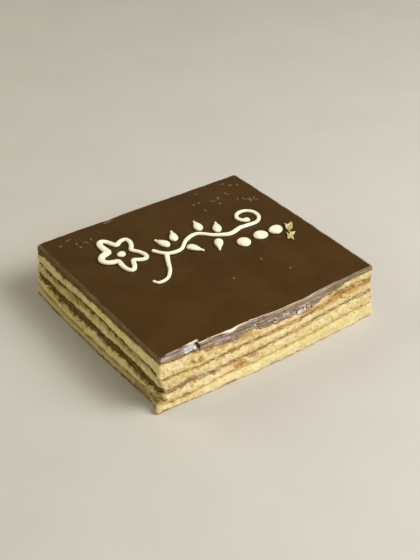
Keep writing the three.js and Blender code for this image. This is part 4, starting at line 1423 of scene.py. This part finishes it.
# Curled scuffs in the glaze: x, y, radius, start and sweep of the curl. The last, nearly straight one is a
# painted highlight along a chip in the back left edge.
SCUFFS = ((66, 42, 2, 1.8, 3.6), (68.5, 39, 1.7, 0.6, 4.4), (72, 37.5, 2.2, 1.2, 3.6),
          (64, 38.5, 3.2, 5.4, 1.4), (64.5, 68.5, 2, 3.6, 2.4), (68, 63, 1.2, 2.0, 4.0),
          (72.5, 59.5, 1, 1.0, 3.0), (62.5, 55, 4.2, 2.6, 1.4), (60, 45.5, 2, 4.2, 2.2),
          (47.5, 53.5, 3.2, 2.6, 2.2), (51.5, 52, 1.9, 1.0, 3.0), (47.5, 47.5, 1.4, 3.6, 2.8),
          (33, 56, 1.4, 2.2, 3.4), (36.5, 54.5, 1.2, 0.4, 3.4), (35, 45, 1, 1.0, 4.6),
          (41, 68.5, 2.2, 4.0, 1.4), (-58, 64.5, 3, 0.8, 1.6), (-51, 57.5, 2, 5.2, 3.2),
          (-55.5, 59.5, 1, 0.4, 3.2), (-55, 56, 0.9, 2.4, 3.6), (-45, 59, 1.2, 1.1, 2.6),
          (-65, 63.5, 0.9, 0.5, 4.6), (30, -24, 0.8, 0.4, 5.0), (38.5, -42.5, 0.8, 1.2, 4.4),
          (3.5, -30.5, 0.6, 2.2, 4.6), (-26, 100, 29.3, -1.72, 0.30))
SCUFF_WIDTH, SCUFF_HEIGHT = 0.85, 0.2
# The section of a scuff: how far across and how high each corner is, as shares of those.
SCUFF_SECTION = ((-1, -0.3), (-0.5, 0.7), (0, 1.0), (0.5, 0.7), (1, -0.3), (0, -0.6))


def scuff(number, x, y, radius, begin, sweep):
    """One curled scuff, as vertices and faces."""
    steps = 18
    share = np.linspace(0, 1, steps)
    angle = begin + sweep * share
    outward = np.column_stack([np.cos(angle), np.sin(angle)])
    reach = radius - min(radius, 2) * (0.25 * share - 0.15 * np.sin(5 * angle + number))
    middle = (x, y) + outward * reach[:, None]
    narrow = np.sin(math.pi * np.clip(share, 0.04, 0.96)) ** 0.6
    corners = []
    for across, up in SCUFF_SECTION:
        plan = middle + outward * (across * narrow * SCUFF_WIDTH / 2)[:, None]
        corners.append(np.column_stack([plan, TOP + up * SCUFF_HEIGHT * narrow]))
    return np.stack(corners, axis=1).reshape(-1, 3), tube_faces(steps, len(SCUFF_SECTION))


def add_scuffs_and_glint():
    vertices, faces = joined([scuff(number, *place) for number, place in enumerate(SCUFFS)])
    piece = make_object("glaze_scuffs_and_glint", vertices, faces, [SCUFFS_AND_GLINT])
    finish_piece(piece, "dark_glaze")


# ---- The cake ----


def build_cake():
    low_sponge, mid_sponge = cut_height("spongeBottom"), cut_height("spongeLower")
    high_sponge, top_sponge = cut_height("spongeUpper"), cut_height("spongeTop")
    low_cream = np.maximum(cut_height("creamLower"), low_sponge + THINNEST)
    ganache = np.maximum(cut_height("ganache"), mid_sponge + THINNEST)
    high_cream = np.maximum(cut_height("creamUpper"), high_sponge + THINNEST)
    top_cream = cut_height("creamTop")
    foot = cream_foot(top_cream)
    covered = np.maximum(top_sponge, foot) + 0.6

    walls = [
        sponge("bottom", np.zeros(COLUMNS), low_sponge, 300, coarse=0.5, crust_and_foot_shade=(1.0, 0.3), tan=0.25,
               painted_shade=(0.75, 0.75)),
        sponge("lower", low_cream, mid_sponge, 400, coarse=0.9, crust_and_foot_shade=(0.2, 0.8), tan=0.55,
               painted_shade=(0.5, 0.25)),
        sponge("upper", ganache, high_sponge, 500, coarse=1.0, crust_and_foot_shade=(0.6, 1.0), tan=0.65, painted_shade=(0.55, 0.0),
               soak=True),
        sponge("top", high_cream, covered, 600, coarse=1.0, crust_and_foot_shade=(0.7, 0.6), tan=0.65, painted_shade=(0.5, 0.1),
               covered_from=foot),
    ]
    shallow = 0.38 * LEFT_SHARE * smooth((140 - away_from(LEFT, 0)) / 10)
    filling("lower", "coffee_cream", low_sponge, low_cream, 700, COFFEE_PALE, back=-0.3, squeeze=0.5,
            drawn_in=shallow)
    filling("middle", "ganache", mid_sponge, ganache, 800, GANACHE, back=-0.15, squeeze=0.8)
    filling("upper", "coffee_cream", high_sponge, high_cream, 900, COFFEE_DARK, back=-0.3, squeeze=0.7,
            drawn_in=0.55 * LEFT_SHARE)
    chocolate_cream(foot, top_cream)
    glaze(top_cream)
    add_flower()
    add_vine()
    add_leaves()
    add_drops()
    for flake in FLAKES:
        gold_flake(*flake)
    sponge_keys = "pit_shade", "crust_and_foot_shade", "soak", "stain", "tan", "edge", "painted_shade", "left"
    add_crumbs("sponge_crumbs", walls, 110, 1.2, 17, SPONGE, "almond_sponge", sponge_keys)
    add_crumbs("chocolate_crumbs", walls[1:], 40, 0.9, 23, COFFEE_DARK, "coffee_cream", ("deep_shade",))
    add_scuffs_and_glint()


build_cake()

# ---- Floor and light ----


FLOOR_REACH = 4000
KEY_FROM, FILL_FROM = (0.46, -0.57, 0.68), (-0.57, 0.68, 0.5)


def add_floor():
    corners = [(x * FLOOR_REACH, y * FLOOR_REACH, 0) for x, y in CORNER_SIGNS]
    floor = make_object("floor", corners, [(0, 1, 2, 3)], [FLOOR])


def add_softbox(name, direction, distance, size, power, colour):
    data = bpy.data.lights.new(name, "AREA")
    data.shape = "SQUARE"
    data.size = size
    data.energy = power
    data.color = colour
    lamp = bpy.data.objects.new(name, data)
    bpy.context.scene.collection.objects.link(lamp)
    towards = Vector(direction).normalized()
    lamp.location = towards * distance
    lamp.rotation_euler = towards.to_track_quat("Z", "Y").to_euler()


def add_light():
    world = bpy.data.worlds.new("studio")
    world.use_nodes = True
    sky = world.node_tree.nodes["Background"].inputs
    sky["Color"].default_value = (0.95, 0.87, 0.69, 1)
    sky["Strength"].default_value = 0.275
    bpy.context.scene.world = world
    add_softbox("key", KEY_FROM, 1.3, 0.95, 18, (1.0, 0.97, 0.92))
    add_softbox("window", KEY_FROM, 1.25, 0.45, 5, (1.0, 0.97, 0.94))
    add_softbox("fill", FILL_FROM, 1.6, 1.0, 10, (1.0, 0.92, 0.72))
    bpy.context.scene.view_settings.view_transform = "Standard"


add_floor()
add_light()
